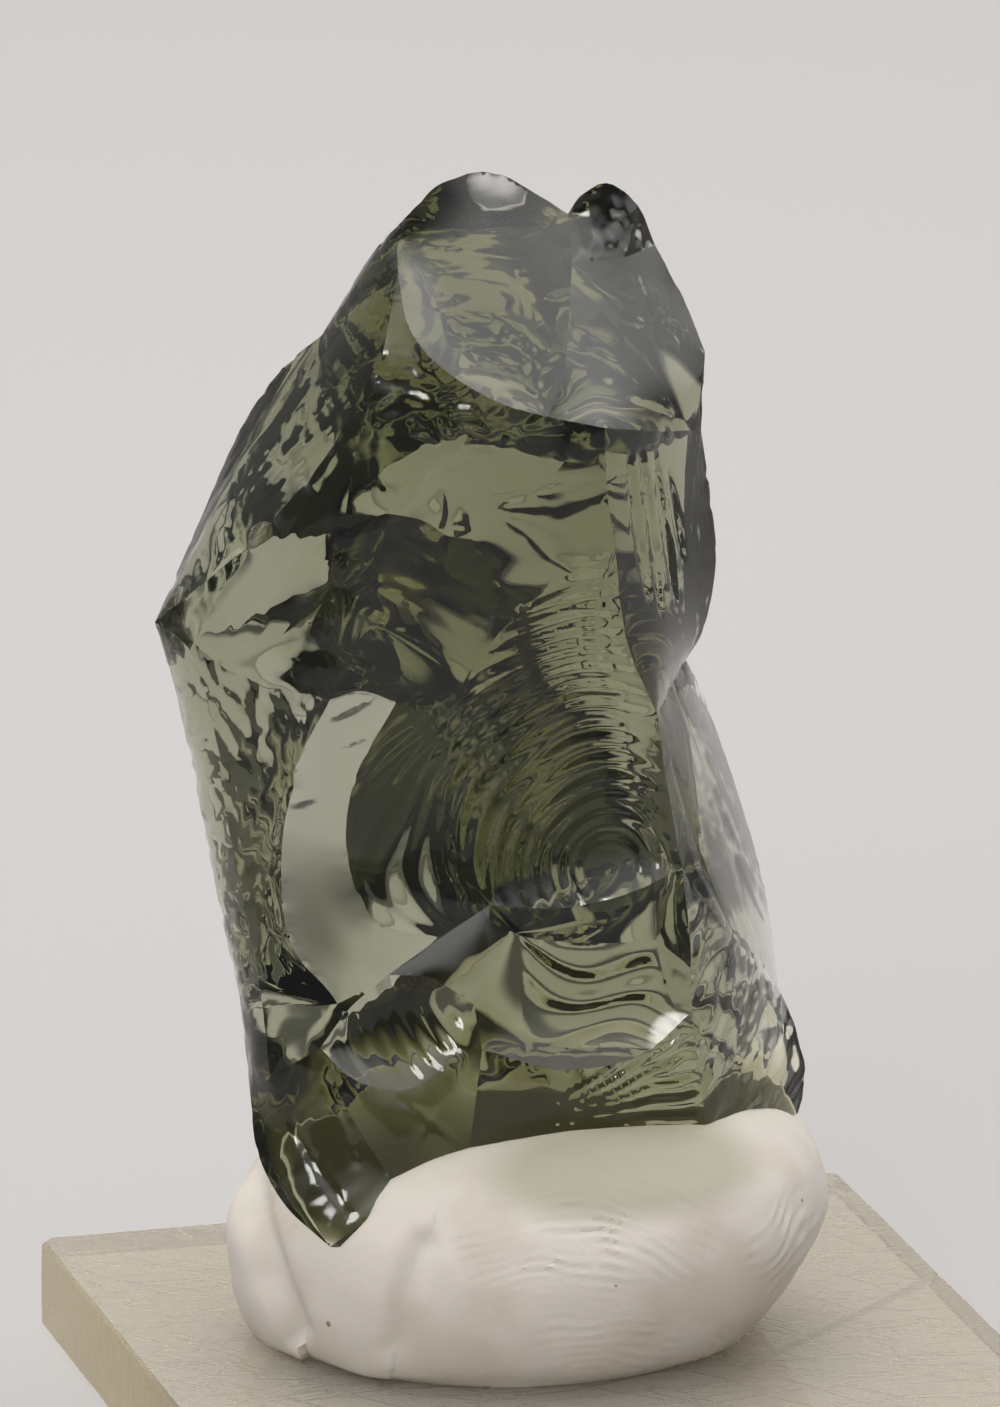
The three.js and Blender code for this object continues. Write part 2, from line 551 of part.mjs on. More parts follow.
function buildSlab() {
  const { side, thickness, cornerRadius } = SLAB;
  const half = side / 2;
  const straight = half - cornerRadius;
  const outline = new THREE.Shape();
  outline.moveTo(-straight, -half);
  outline.lineTo(straight, -half);
  outline.absarc(straight, -straight, cornerRadius, -Math.PI / 2, 0);
  outline.lineTo(half, straight);
  outline.absarc(straight, straight, cornerRadius, 0, Math.PI / 2);
  outline.lineTo(-straight, half);
  outline.absarc(-straight, straight, cornerRadius, Math.PI / 2, Math.PI);
  outline.lineTo(-half, -straight);
  outline.absarc(-straight, -straight, cornerRadius, Math.PI, 1.5 * Math.PI);
  return new THREE.ExtrudeGeometry(outline, { depth: thickness, bevelEnabled: false, curveSegments: 4 });
}

function makeMesh(name, geometry, finish) {
  const mesh = new THREE.Mesh(geometry, new THREE.MeshStandardMaterial(finish));
  mesh.name = name;
  return mesh;
}

const glass = buildGlass();

const specimen = new THREE.Group();
specimen.rotation.z = SPECIMEN_TURN;
specimen.add(makeMesh("crystal", glass, { color: 0x4c5a3a, roughness: 0.04, metalness: 0 }));
specimen.add(makeMesh("putty", buildPutty(glass), { color: 0xe4ddd4, roughness: 0.75, metalness: 0 }));

const part = new THREE.Group();
part.name = "andara_crystal";
part.add(makeMesh("slab", buildSlab(), { color: 0xc9bf98, roughness: 0.3, metalness: 0 }));
part.add(specimen);

export default part;
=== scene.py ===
"""Looks of an andara crystal on its stand.

A broken lump of dark green natural glass stands in a ball of white putty on a small square slab of clear
acrylic that has yellowed. Sizes are in millimetres and in the specimen's own axes: x to its right, y away,
z up, from the middle of the slab's underside. Blender objects are in metres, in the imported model's frame.
"""

import logging
import math
from dataclasses import dataclass
from enum import Enum
from typing import Iterable, Optional, Sequence, Union

import bmesh
import bpy
import numpy as np
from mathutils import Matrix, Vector, noise
from mathutils.geometry import delaunay_2d_cdt

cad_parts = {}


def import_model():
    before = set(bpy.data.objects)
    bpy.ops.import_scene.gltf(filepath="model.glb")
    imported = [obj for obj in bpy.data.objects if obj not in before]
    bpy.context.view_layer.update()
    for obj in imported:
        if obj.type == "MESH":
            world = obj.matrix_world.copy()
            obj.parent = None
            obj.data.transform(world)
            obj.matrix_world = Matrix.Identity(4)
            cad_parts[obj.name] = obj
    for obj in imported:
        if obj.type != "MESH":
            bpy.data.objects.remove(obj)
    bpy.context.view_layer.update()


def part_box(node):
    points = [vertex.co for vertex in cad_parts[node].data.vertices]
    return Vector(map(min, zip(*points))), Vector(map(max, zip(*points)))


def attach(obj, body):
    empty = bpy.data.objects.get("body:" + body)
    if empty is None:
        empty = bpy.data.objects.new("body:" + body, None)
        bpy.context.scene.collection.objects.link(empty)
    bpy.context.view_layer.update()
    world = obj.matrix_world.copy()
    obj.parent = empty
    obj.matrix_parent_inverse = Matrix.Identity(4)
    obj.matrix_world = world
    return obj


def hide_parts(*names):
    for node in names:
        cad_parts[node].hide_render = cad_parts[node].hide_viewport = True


LOG = logging.getLogger("andara_crystal")
MM = 0.001
ROOT = "root"

Colour = tuple[float, float, float]
Place = tuple[float, float, float]
Span = tuple[float, float]
Corner = tuple[float, float, float]
Spot = tuple[float, float]
Stop = Union[str, Corner]


# ---------------------------------------------------------------- the line of sight and the sheet


@dataclass(frozen=True)
class Sight:
    """The line of sight that the glass's elevation sheet is drawn along.

    A corner on the sheet is (across, down, depth): across and down count sheet units from the top left, and
    depth is in millimetres behind the glass's mid-plane, so a negative depth lies nearer the front. A spot
    on the sheet is (across, down) alone.
    """

    turn: float = math.radians(-15.5)
    pitch: float = math.radians(15.33)
    distance: float = 637.1
    target: Place = (-2.52, 6.0, 33.0)
    sheet_width: float = 1000.0
    sheet_height: float = 1407.0
    units_per_mm: float = 21.38
    mid_plane: float = 3.0
    sensor: float = 36.0
    nearest_seen: float = 0.01

    @property
    def ahead(self) -> np.ndarray:
        """The direction of sight in specimen axes."""
        return np.array([0.0, math.cos(self.pitch), -math.sin(self.pitch)])

    @property
    def up(self) -> np.ndarray:
        """The way up the sheet in specimen axes."""
        return np.array([0.0, math.sin(self.pitch), math.cos(self.pitch)])

    @property
    def eye(self) -> np.ndarray:
        """The eye's place in specimen axes."""
        return np.array(self.target) - self.distance * self.ahead

    @property
    def sheet_distance(self) -> float:
        """The eye's distance from the sheet, in sheet units."""
        return self.units_per_mm * self.distance

    def place(self, corner: Corner) -> np.ndarray:
        """Finds a sheet corner in space.

        Args:
            corner: across, down and depth on the sheet.

        Returns:
            The point in millimetres, in specimen axes.
        """
        across, down, depth = corner
        ray = self.ahead + self.up * (self.sheet_height / 2 - down) / self.sheet_distance
        ray[0] = (across - self.sheet_width / 2) / self.sheet_distance
        return self.eye + ray * (self.mid_plane + depth - self.eye[1]) / ray[1]

    def on_sheet(self, points: np.ndarray) -> np.ndarray:
        """Finds where points in space show on the sheet.

        Args:
            points: the points in millimetres, in specimen axes.

        Returns:
            Their spots, as rows of across and down.
        """
        arms = points - self.eye
        depth = arms @ self.ahead
        across = self.sheet_width / 2 + self.sheet_distance * arms[:, 0] / depth
        down = self.sheet_height / 2 - self.sheet_distance * (arms @ self.up) / depth
        return np.column_stack([across, down])

    def to_frame(self, points: np.ndarray) -> np.ndarray:
        """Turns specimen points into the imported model's frame.

        Args:
            points: the points in millimetres, in specimen axes.

        Returns:
            The points in metres, in the frame's axes.
        """
        cos, sin = math.cos(self.turn), math.sin(self.turn)
        turned = np.array(points, float) @ np.array([[cos, sin, 0.0], [-sin, cos, 0.0], [0.0, 0.0, 1.0]])
        return turned * MM

    def add_camera(self) -> bpy.types.Object:
        """Puts the camera at the eye, framed on the sheet.

        Returns:
            The camera.
        """
        data = bpy.data.cameras.new("sight")
        data.lens = self.sensor * self.sheet_distance / self.sheet_height
        data.sensor_width = self.sensor
        data.clip_start = self.nearest_seen
        camera = to_scene("sight", data)
        eye, target = (Vector(self.to_frame(point)) for point in (self.eye, np.array(self.target)))
        camera.location = eye
        camera.rotation_euler = (target - eye).to_track_quat("-Z", "Y").to_euler()
        bpy.context.scene.camera = camera
        return camera


SIGHT = Sight()


# ---------------------------------------------------------------- helpers for shapes


def to_scene(name: str, data: bpy.types.ID) -> bpy.types.Object:
    """Puts an object in the scene.

    Args:
        name: its name.
        data: its mesh, light or camera.

    Returns:
        The object.
    """
    thing = bpy.data.objects.new(name, data)
    bpy.context.scene.collection.objects.link(thing)
    return thing


def to_mesh(name: str, places: np.ndarray, faces: Sequence[Sequence[int]]) -> bpy.types.Mesh:
    """Makes a mesh.

    Args:
        name: its name.
        places: its points in metres, in the frame.
        faces: the point numbers of each face.

    Returns:
        The mesh.
    """
    mesh = bpy.data.meshes.new(name)
    mesh.from_pydata(places.tolist(), [], faces)
    mesh.update()
    return mesh


def to_piece(mesh: bpy.types.Mesh, stands_for: str) -> bpy.types.Object:
    """Puts a mesh in the scene as the piece that stands for a node.

    Args:
        mesh: the piece's mesh, which gives it its name.
        stands_for: the node.

    Returns:
        The piece.
    """
    piece = to_scene(mesh.name, mesh)
    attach(piece, ROOT)
    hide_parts(stands_for)
    return piece


def stack_faces(count: int, row_count: int) -> list[list[int]]:
    """Joins a stack of rings with four-sided faces, and closes both ends.

    Args:
        count: how many points a ring has.
        row_count: how many rings there are.

    Returns:
        The faces, with the rings' points numbered row by row.
    """
    faces = []
    for row in range(row_count - 1):
        for column in range(count):
            here, beside = row * count + column, row * count + (column + 1) % count
            faces.append([here, beside, beside + count, here + count])
    faces.append(list(range(count))[::-1])
    faces.append(list(range((row_count - 1) * count, row_count * count)))
    return faces


def soften(mesh: bpy.types.Mesh, sharp_above: float) -> None:
    """Shades a mesh smoothly, but for its sharp edges.

    Args:
        mesh: the mesh.
        sharp_above: the turn between two faces above which their edge is sharp, in degrees.
    """
    work = bmesh.new()
    work.from_mesh(mesh)
    for face in work.faces:
        face.smooth = True
    for edge in work.edges:
        edge.smooth = len(edge.link_faces) == 2 and edge.calc_face_angle(0.0) < math.radians(sharp_above)
    work.to_mesh(mesh)
    work.free()


def waver(points: np.ndarray, size: float, seed: float) -> np.ndarray:
    """Gives smooth noise from -1 to 1 at points in space, with humps of about the given size."""
    shift = Vector((seed, 2 * seed, 3 * seed))
    return np.array([noise.noise(Vector(point) / size + shift) for point in points])


def flat_noise(flat: np.ndarray, pace: float, seed: float) -> np.ndarray:
    """Gives a smooth random value, around zero, at flat places."""
    return np.array([noise.noise(Vector((u * pace, v * pace, seed))) for u, v in flat])


def zigzag(phase: np.ndarray, sharpness: float = 0.97) -> np.ndarray:
    """Gives a wave from -1 to 1 with nearly straight flanks, at phases in radians."""
    return 2 / math.pi * np.arcsin(sharpness * np.sin(phase))


def nearest_on_line(spots: np.ndarray, line: np.ndarray) -> tuple[np.ndarray, np.ndarray, np.ndarray]:
    """Finds the nearest point of a bent line for each spot.

    Args:
        spots: flat spots.
        line: the line's ends and bends.

    Returns:
        Each spot's distance from the line, the nearest point's place along it from 0 to 1, and the side of
        the line that the spot is on, as 1 or -1.
    """
    lengths = np.linalg.norm(np.diff(line, axis=0), axis=1)
    run = np.r_[0, np.cumsum(lengths)] / lengths.sum()
    best = np.full(len(spots), np.inf)
    along = np.zeros(len(spots))
    side = np.zeros(len(spots))
    for start, end, first, last in zip(line, line[1:], run, run[1:]):
        arm = end - start
        share = np.clip((spots - start) @ arm / (arm @ arm), 0, 1)
        off = spots - start - share[:, None] * arm
        gap = np.linalg.norm(off, axis=1)
        nearer = gap < best
        best = np.where(nearer, gap, best)
        along = np.where(nearer, first + share * (last - first), along)
        side = np.where(nearer, np.sign(arm[1] * off[:, 0] - arm[0] * off[:, 1]), side)
    return best, along, side


def spaced_curve(bends: np.ndarray, step: float, samples: int = 24) -> np.ndarray:
    """Runs a smooth curve through its bends.

    Args:
        bends: the points that the curve passes through.
        step: the spacing wanted, in millimetres.
        samples: how many points are worked out between two bends before the curve is spaced evenly.

    Returns:
        Evenly spaced points from the first bend to the last.
    """
    knots = np.vstack([2 * bends[0] - bends[1], bends, 2 * bends[-1] - bends[-2]])
    pieces = []
    for p0, p1, p2, p3 in zip(knots, knots[1:], knots[2:], knots[3:]):
        t1 = math.sqrt(np.linalg.norm(p1 - p0))
        t2 = t1 + math.sqrt(np.linalg.norm(p2 - p1))
        t3 = t2 + math.sqrt(np.linalg.norm(p3 - p2))
        t = np.linspace(t1, t2, samples, endpoint=False)[:, None]
        a1 = ((t1 - t) * p0 + t * p1) / t1
        a2 = ((t2 - t) * p1 + (t - t1) * p2) / (t2 - t1)
        a3 = ((t3 - t) * p2 + (t - t2) * p3) / (t3 - t2)
        b1 = ((t2 - t) * a1 + t * a2) / t2
        b2 = ((t3 - t) * a2 + (t - t1) * a3) / (t3 - t1)
        pieces.append(((t2 - t) * b1 + (t - t1) * b2) / (t2 - t1))
    curve = np.vstack([*pieces, bends[-1:]])
    run = np.r_[0, np.cumsum(np.linalg.norm(np.diff(curve, axis=0), axis=1))]
    count = max(2, round(run[-1] / step))
    stops = np.linspace(0, run[-1], count + 1)
    return np.stack([np.interp(stops, run, curve[:, axis]) for axis in range(3)], 1)


def inside_outline(outline: np.ndarray, places: np.ndarray) -> np.ndarray:
    """Tells which flat places lie inside an outline.

    Args:
        outline: the closed outline's points.
        places: the places.

    Returns:
        True for each place that lies inside.
    """
    u, v = places[:, :1], places[:, 1:]
    u1, v1 = outline.T
    u2, v2 = np.roll(outline, -1, 0).T
    crossed = ((v1 > v) != (v2 > v)) & (u < (u2 - u1) * (v - v1) / (v2 - v1 + 1e-12) + u1)
    return crossed.sum(1) % 2 == 1


def honeycomb(outline: np.ndarray, step: float, clear: float) -> np.ndarray:
    """Fills an outline with evenly spread points.

    Args:
        outline: the closed outline, in flat millimetres.
        step: the spacing of the points.
        clear: how far they stay from the outline's own points.

    Returns:
        The points' flat places.
    """
    low, high = outline.min(0), outline.max(0)
    rows = np.arange(low[1], high[1], step * math.sqrt(3) / 2)
    columns = np.arange(low[0], high[0], step)
    u, v = np.meshgrid(columns, rows)
    u = u + (np.arange(len(rows)) % 2)[:, None] * step / 2
    places = np.stack([u.ravel(), v.ravel()], 1)
    places = places[inside_outline(outline, places)]
    if not len(places):
        return places
    gaps = np.linalg.norm(places[:, None] - outline[None], axis=2).min(1)
    return places[gaps > clear]


def stretch_skin(
    outline: np.ndarray, heights: np.ndarray, places: np.ndarray
) -> tuple[np.ndarray, np.ndarray]:
    """Stretches a skin over a ring by mean value weights.

    Args:
        outline: the ring's points, flat.
        heights: the ring's heights over its plane.
        places: flat places inside the ring.

    Returns:
        The skin's height at each place, and how far in from the ring each place is.
    """
    spokes = outline[None] - places[:, None]
    lengths = np.linalg.norm(spokes, axis=2)
    after, after_lengths = np.roll(spokes, -1, 1), np.roll(lengths, -1, 1)
    cross = spokes[..., 0] * after[..., 1] - spokes[..., 1] * after[..., 0]
    half_angles = cross / (lengths * after_lengths + (spokes * after).sum(2) + 1e-12)
    weights = (np.roll(half_angles, 1, 1) + half_angles) / lengths
    shares = np.linalg.norm(np.roll(outline, -1, 0) - outline, axis=1)
    shares = (shares + np.roll(shares, 1)) / 2
    insets = (math.pi / 2 / (shares[None] * lengths**-4.0).sum(1)) ** (1 / 3)
    return (weights @ heights) / weights.sum(1), insets


# ---------------------------------------------------------------- marks that a break leaves in a scar


@dataclass(frozen=True)
class ScarPlane:
    """The plane fitted through a scar's ring, with its middle, two axes and outward normal."""

    middle: np.ndarray
    axis_u: np.ndarray
    axis_v: np.ndarray
    normal: np.ndarray

    @classmethod
    def through(cls, ring: np.ndarray, nearly_level: float = 0.98) -> "ScarPlane":
        """Fits the plane to a ring.

        Args:
            ring: the ring's points, anticlockwise seen from outside.
            nearly_level: how upright the normal is before the axes lean on y in place of z.

        Returns:
            The plane.
        """
        middle = ring.mean(0)
        arms = ring - middle
        normal = np.cross(arms, np.roll(arms, -1, 0)).sum(0)
        normal /= np.linalg.norm(normal)
        lean = np.array([0.0, 1.0, 0.0] if abs(normal[2]) > nearly_level else [0.0, 0.0, 1.0])
        axis_u = np.cross(normal, lean)
        axis_u /= np.linalg.norm(axis_u)
        return cls(middle, axis_u, np.cross(normal, axis_u), normal)

    def flatten(self, points: np.ndarray) -> tuple[np.ndarray, np.ndarray]:
        """Splits points into their places on the plane and their heights over it."""
        arms = np.atleast_2d(points) - self.middle
        return np.stack([arms @ self.axis_u, arms @ self.axis_v], 1), arms @ self.normal

    def lift(self, flat: np.ndarray, heights: np.ndarray) -> np.ndarray:
        """Puts flat places back in space at the given heights."""
        on_plane = self.middle + flat[:, :1] * self.axis_u + flat[:, 1:] * self.axis_v
        return on_plane + heights[:, None] * self.normal


@dataclass(frozen=True)
class Ground:
    """Places on a scar's skin: flat on its plane in millimetres, and on the elevation sheet."""

    plane: ScarPlane
    flat: np.ndarray
    sheet: np.ndarray

    def reach_from(self, corner: Corner) -> np.ndarray:
        """Gives each place's distance along the plane from a sheet corner, in millimetres."""
        return np.linalg.norm(self.flat - self.plane.flatten(SIGHT.place(corner))[0][0], axis=1)


@dataclass(frozen=True)
class Ripples:
    """Rings that spread from where the break began, like those on a pond.

    start and end bound them, in millimetres from the source. wander is how far they stray from round, and
    unevenness how much their height changes along them.
    """

    source: Corner
    period: float
    height: float
    wander: float = 0.5
    start: float = 0.0
    end: float = 99.0
    unevenness: float = 0.6

    def relief(self, ground: Ground) -> np.ndarray:
        """Works out the rings' relief.

        Args:
            ground: the places on the scar.

        Returns:
            The height in millimetres at each place.
        """
        reach = ground.reach_from(self.source)
        drift = flat_noise(ground.flat, pace=0.18, seed=3.3)
        swing = flat_noise(ground.flat, pace=0.5, seed=7.3)
        phase = 2 * math.pi * (reach / self.period + 2 * self.wander * drift)
        shown = np.clip(reach - self.start, 0, 1) * np.clip(self.end - reach, 0, 1)
        return self.height * (1 + self.unevenness * swing) * zigzag(phase) * shown


@dataclass(frozen=True)
class Hackle:
    """Torn, feathery relief whose streaks run one way across the scar, all over it or in one patch.

    period is the spacing of its streaks, stretch their length in periods and angle their way, in degrees.
    """

    period: float
    height: float
    angle: float
    stretch: float
    seed: float
    patch: Optional[Corner] = None
    patch_size: float = 1.0
    seed_pace: float = 5.1
    roughness: float = 1.0
    finer_by: float = 2.1
    octaves: int = 3
    crest: float = 1.0
    gain: float = 2.0

    def relief(self, ground: Ground) -> np.ndarray:
        """Works out the streaks' relief.

        Args:
            ground: the places on the scar.

        Returns:
            The height in millimetres at each place.
        """
        angle = math.radians(self.angle)
        u, v = ground.flat.T
        along = (u * math.cos(angle) + v * math.sin(angle)) / (self.period * self.stretch)
        across = (v * math.cos(angle) - u * math.sin(angle)) / self.period
        shape = (self.roughness, self.finer_by, self.octaves, self.crest, self.gain)
        places = (Vector((a, c, self.seed * self.seed_pace)) for a, c in zip(along, across))
        torn = np.array([noise.ridged_multi_fractal(place, *shape) for place in places])
        if self.patch is None:
            return self.height * (1.0 - torn)
        reach = ground.reach_from(self.patch) / self.patch_size
        return self.height * (1.0 - torn) * np.exp(-(reach**4))


@dataclass(frozen=True)
class Gash:
    """A step torn along a line drawn on the elevation sheet: a groove that narrows to nothing at its ends."""

    line: tuple[Spot, ...]
    width: float
    depth: float
    end_share: float = 0.25
    shake: float = 0.375

    def relief(self, ground: Ground) -> np.ndarray:
        """Works out the groove's relief.

        Args:
            ground: the places on the scar.

        Returns:
            The height, below zero, in millimetres at each place.
        """
        line = np.array(self.line) / SIGHT.units_per_mm
        gap, along, _ = nearest_on_line(ground.sheet / SIGHT.units_per_mm, line)
        rough = flat_noise(ground.flat, pace=1.7, seed=5.9)
        swell = self.end_share + (1 - self.end_share) * np.sin(math.pi * along)
        width = self.width * swell * (1 + self.shake * rough)
        return -self.depth * np.clip(1 - gap / width, 0, 1)


@dataclass(frozen=True)
class Fan:
    """Straight ridges that spread from one spot, like the ribs of a fan, over part of a turn.

    pitch, start, end and edge are in degrees. The ribs begin at inner millimetres from the source and grow
    with their reach, between the two shares in growth. A slower swell makes them uneven.
    """

    source: Spot
    pitch: float
    height: float
    start: float
    end: float
    edge: float = 3.0
    inner: float = 0.6
    full_reach: float = 2.0
    growth: Span = (0.2, 1.4)
    wander: float = 0.35
    swell: float = 0.4
    swell_pace: float = 5.1

    def relief(self, ground: Ground) -> np.ndarray:
        """Works out the ribs' relief.

        Args:
            ground: the places on the scar.

        Returns:
            The height in millimetres at each place.
        """
        arms = (ground.sheet - np.array(self.source)) / SIGHT.units_per_mm
        reach = np.linalg.norm(arms, axis=1)
        turn = np.degrees(np.arctan2(-arms[:, 1], arms[:, 0]))
        phase = turn / self.pitch + self.wander * flat_noise(ground.flat, pace=0.6, seed=8.1)
        wave = zigzag(2 * math.pi * phase) + self.swell * np.sin(self.swell_pace * phase)
        shown = np.clip((turn - self.start) / self.edge, 0, 1) * np.clip((self.end - turn) / self.edge, 0, 1)
        growth = np.clip(reach / self.full_reach, *self.growth)
        return self.height * growth * wave * shown * np.clip(reach / self.inner - 1, 0, 1)


Mark = Union[Ripples, Hackle, Gash, Fan]


@dataclass(frozen=True)
class Scar:
    """One broken face, bounded by a ring of ridges.

    hollow is how deep it dips below a skin stretched over its ridges, negative where it swells out. loop
    names its ridges anticlockwise seen from outside, with - before one that is followed backwards.
    """

    hollow: float
    loop: str
    marks: tuple[Mark, ...] = ()


# ---------------------------------------------------------------- the glass's corners, ridges and scars


# Where three or more ridges meet, on the elevation sheet.
CORNERS: dict[str, Corner] = {
    # the outline, clockwise from the top left
    "rimStart": (405, 218, -0.3), "notch": (568, 214, 2.2), "knobFoot": (655, 245, 4),
    "shoulder": (705, 352, 3), "cheek": (701, 430, 2), "waist": (686, 660, 2.8), "wingEnd": (778, 985, 3),
    "heelToe": (798, 1113, -0.5), "tip": (330, 1247, -11.2), "bandFoot": (250, 1092, -6.5),
    "leftHip": (240, 1000, -4.5), "corner": (155, 622, 0), "stripEnd": (322, 335, 2.8),
    # the front
    "rimLeft": (398, 275, -2.5), "ribTop": (383, 352, -4.5), "rimLow": (548, 417, -7),
    "prowTop": (605, 428, -6.5), "knobRoot": (572, 262, -0.5), "prowMid": (615, 548, -6.5),
    "prowEnd": (657, 714, -5), "bowlHeel": (682, 868, -5.5), "spineTop": (490, 905, -6),
    "heelBrow": (692, 1012, -7), "spineFoot": (482, 1050, -8.3), "lensRight": (474, 1005, -7.8),
    "lensTop": (388, 975, -7.8), "lensLeft": (320, 1048, -8.8), "bandEnd": (270, 1078, -8.5),
    "ribFoot": (256, 960, -6.5), "tipRoot": (390, 1178, -9.8), "footLeft": (470, 1146, -8.6),
    "footRight": (706, 1128, -6.5),
    # the back and the foot
    "skylightLeft": (425, 452, 2.6), "skylightRight": (552, 446, 3.2), "skylightFoot": (478, 522, 2.6),
    "skylightHeel": (405, 505, 2), "valleyFoot": (474, 650, 9), "keelTop": (615, 436, 6),
    "keelMid": (634, 700, 3.2), "keelFoot": (648, 856, 1.2), "browLeft": (398, 384, 10.2),
    "nose": (402, 606, 8), "bandTip": (350, 528, 1.4), "bandTail": (224, 645, 3.6),
    "crescentTop": (340, 695, -2.4), "crescentHorn": (392, 692, -2.2), "crescentFoot": (425, 928, -1.8),
    "crescentTail": (335, 1000, -3), "ledgeLeft": (505, 930, 1), "ledgeRight": (668, 935, 1.5),
    "paneRight": (700, 1062, 0.6), "paneLeft": (510, 1062, 1), "scoopFoot": (345, 1078, 1.5),
    "soleRight": (690, 1190, 2.5), "soleMid": (505, 1200, 2.5), "soleLeft": (300, 1195, -2.5),
}

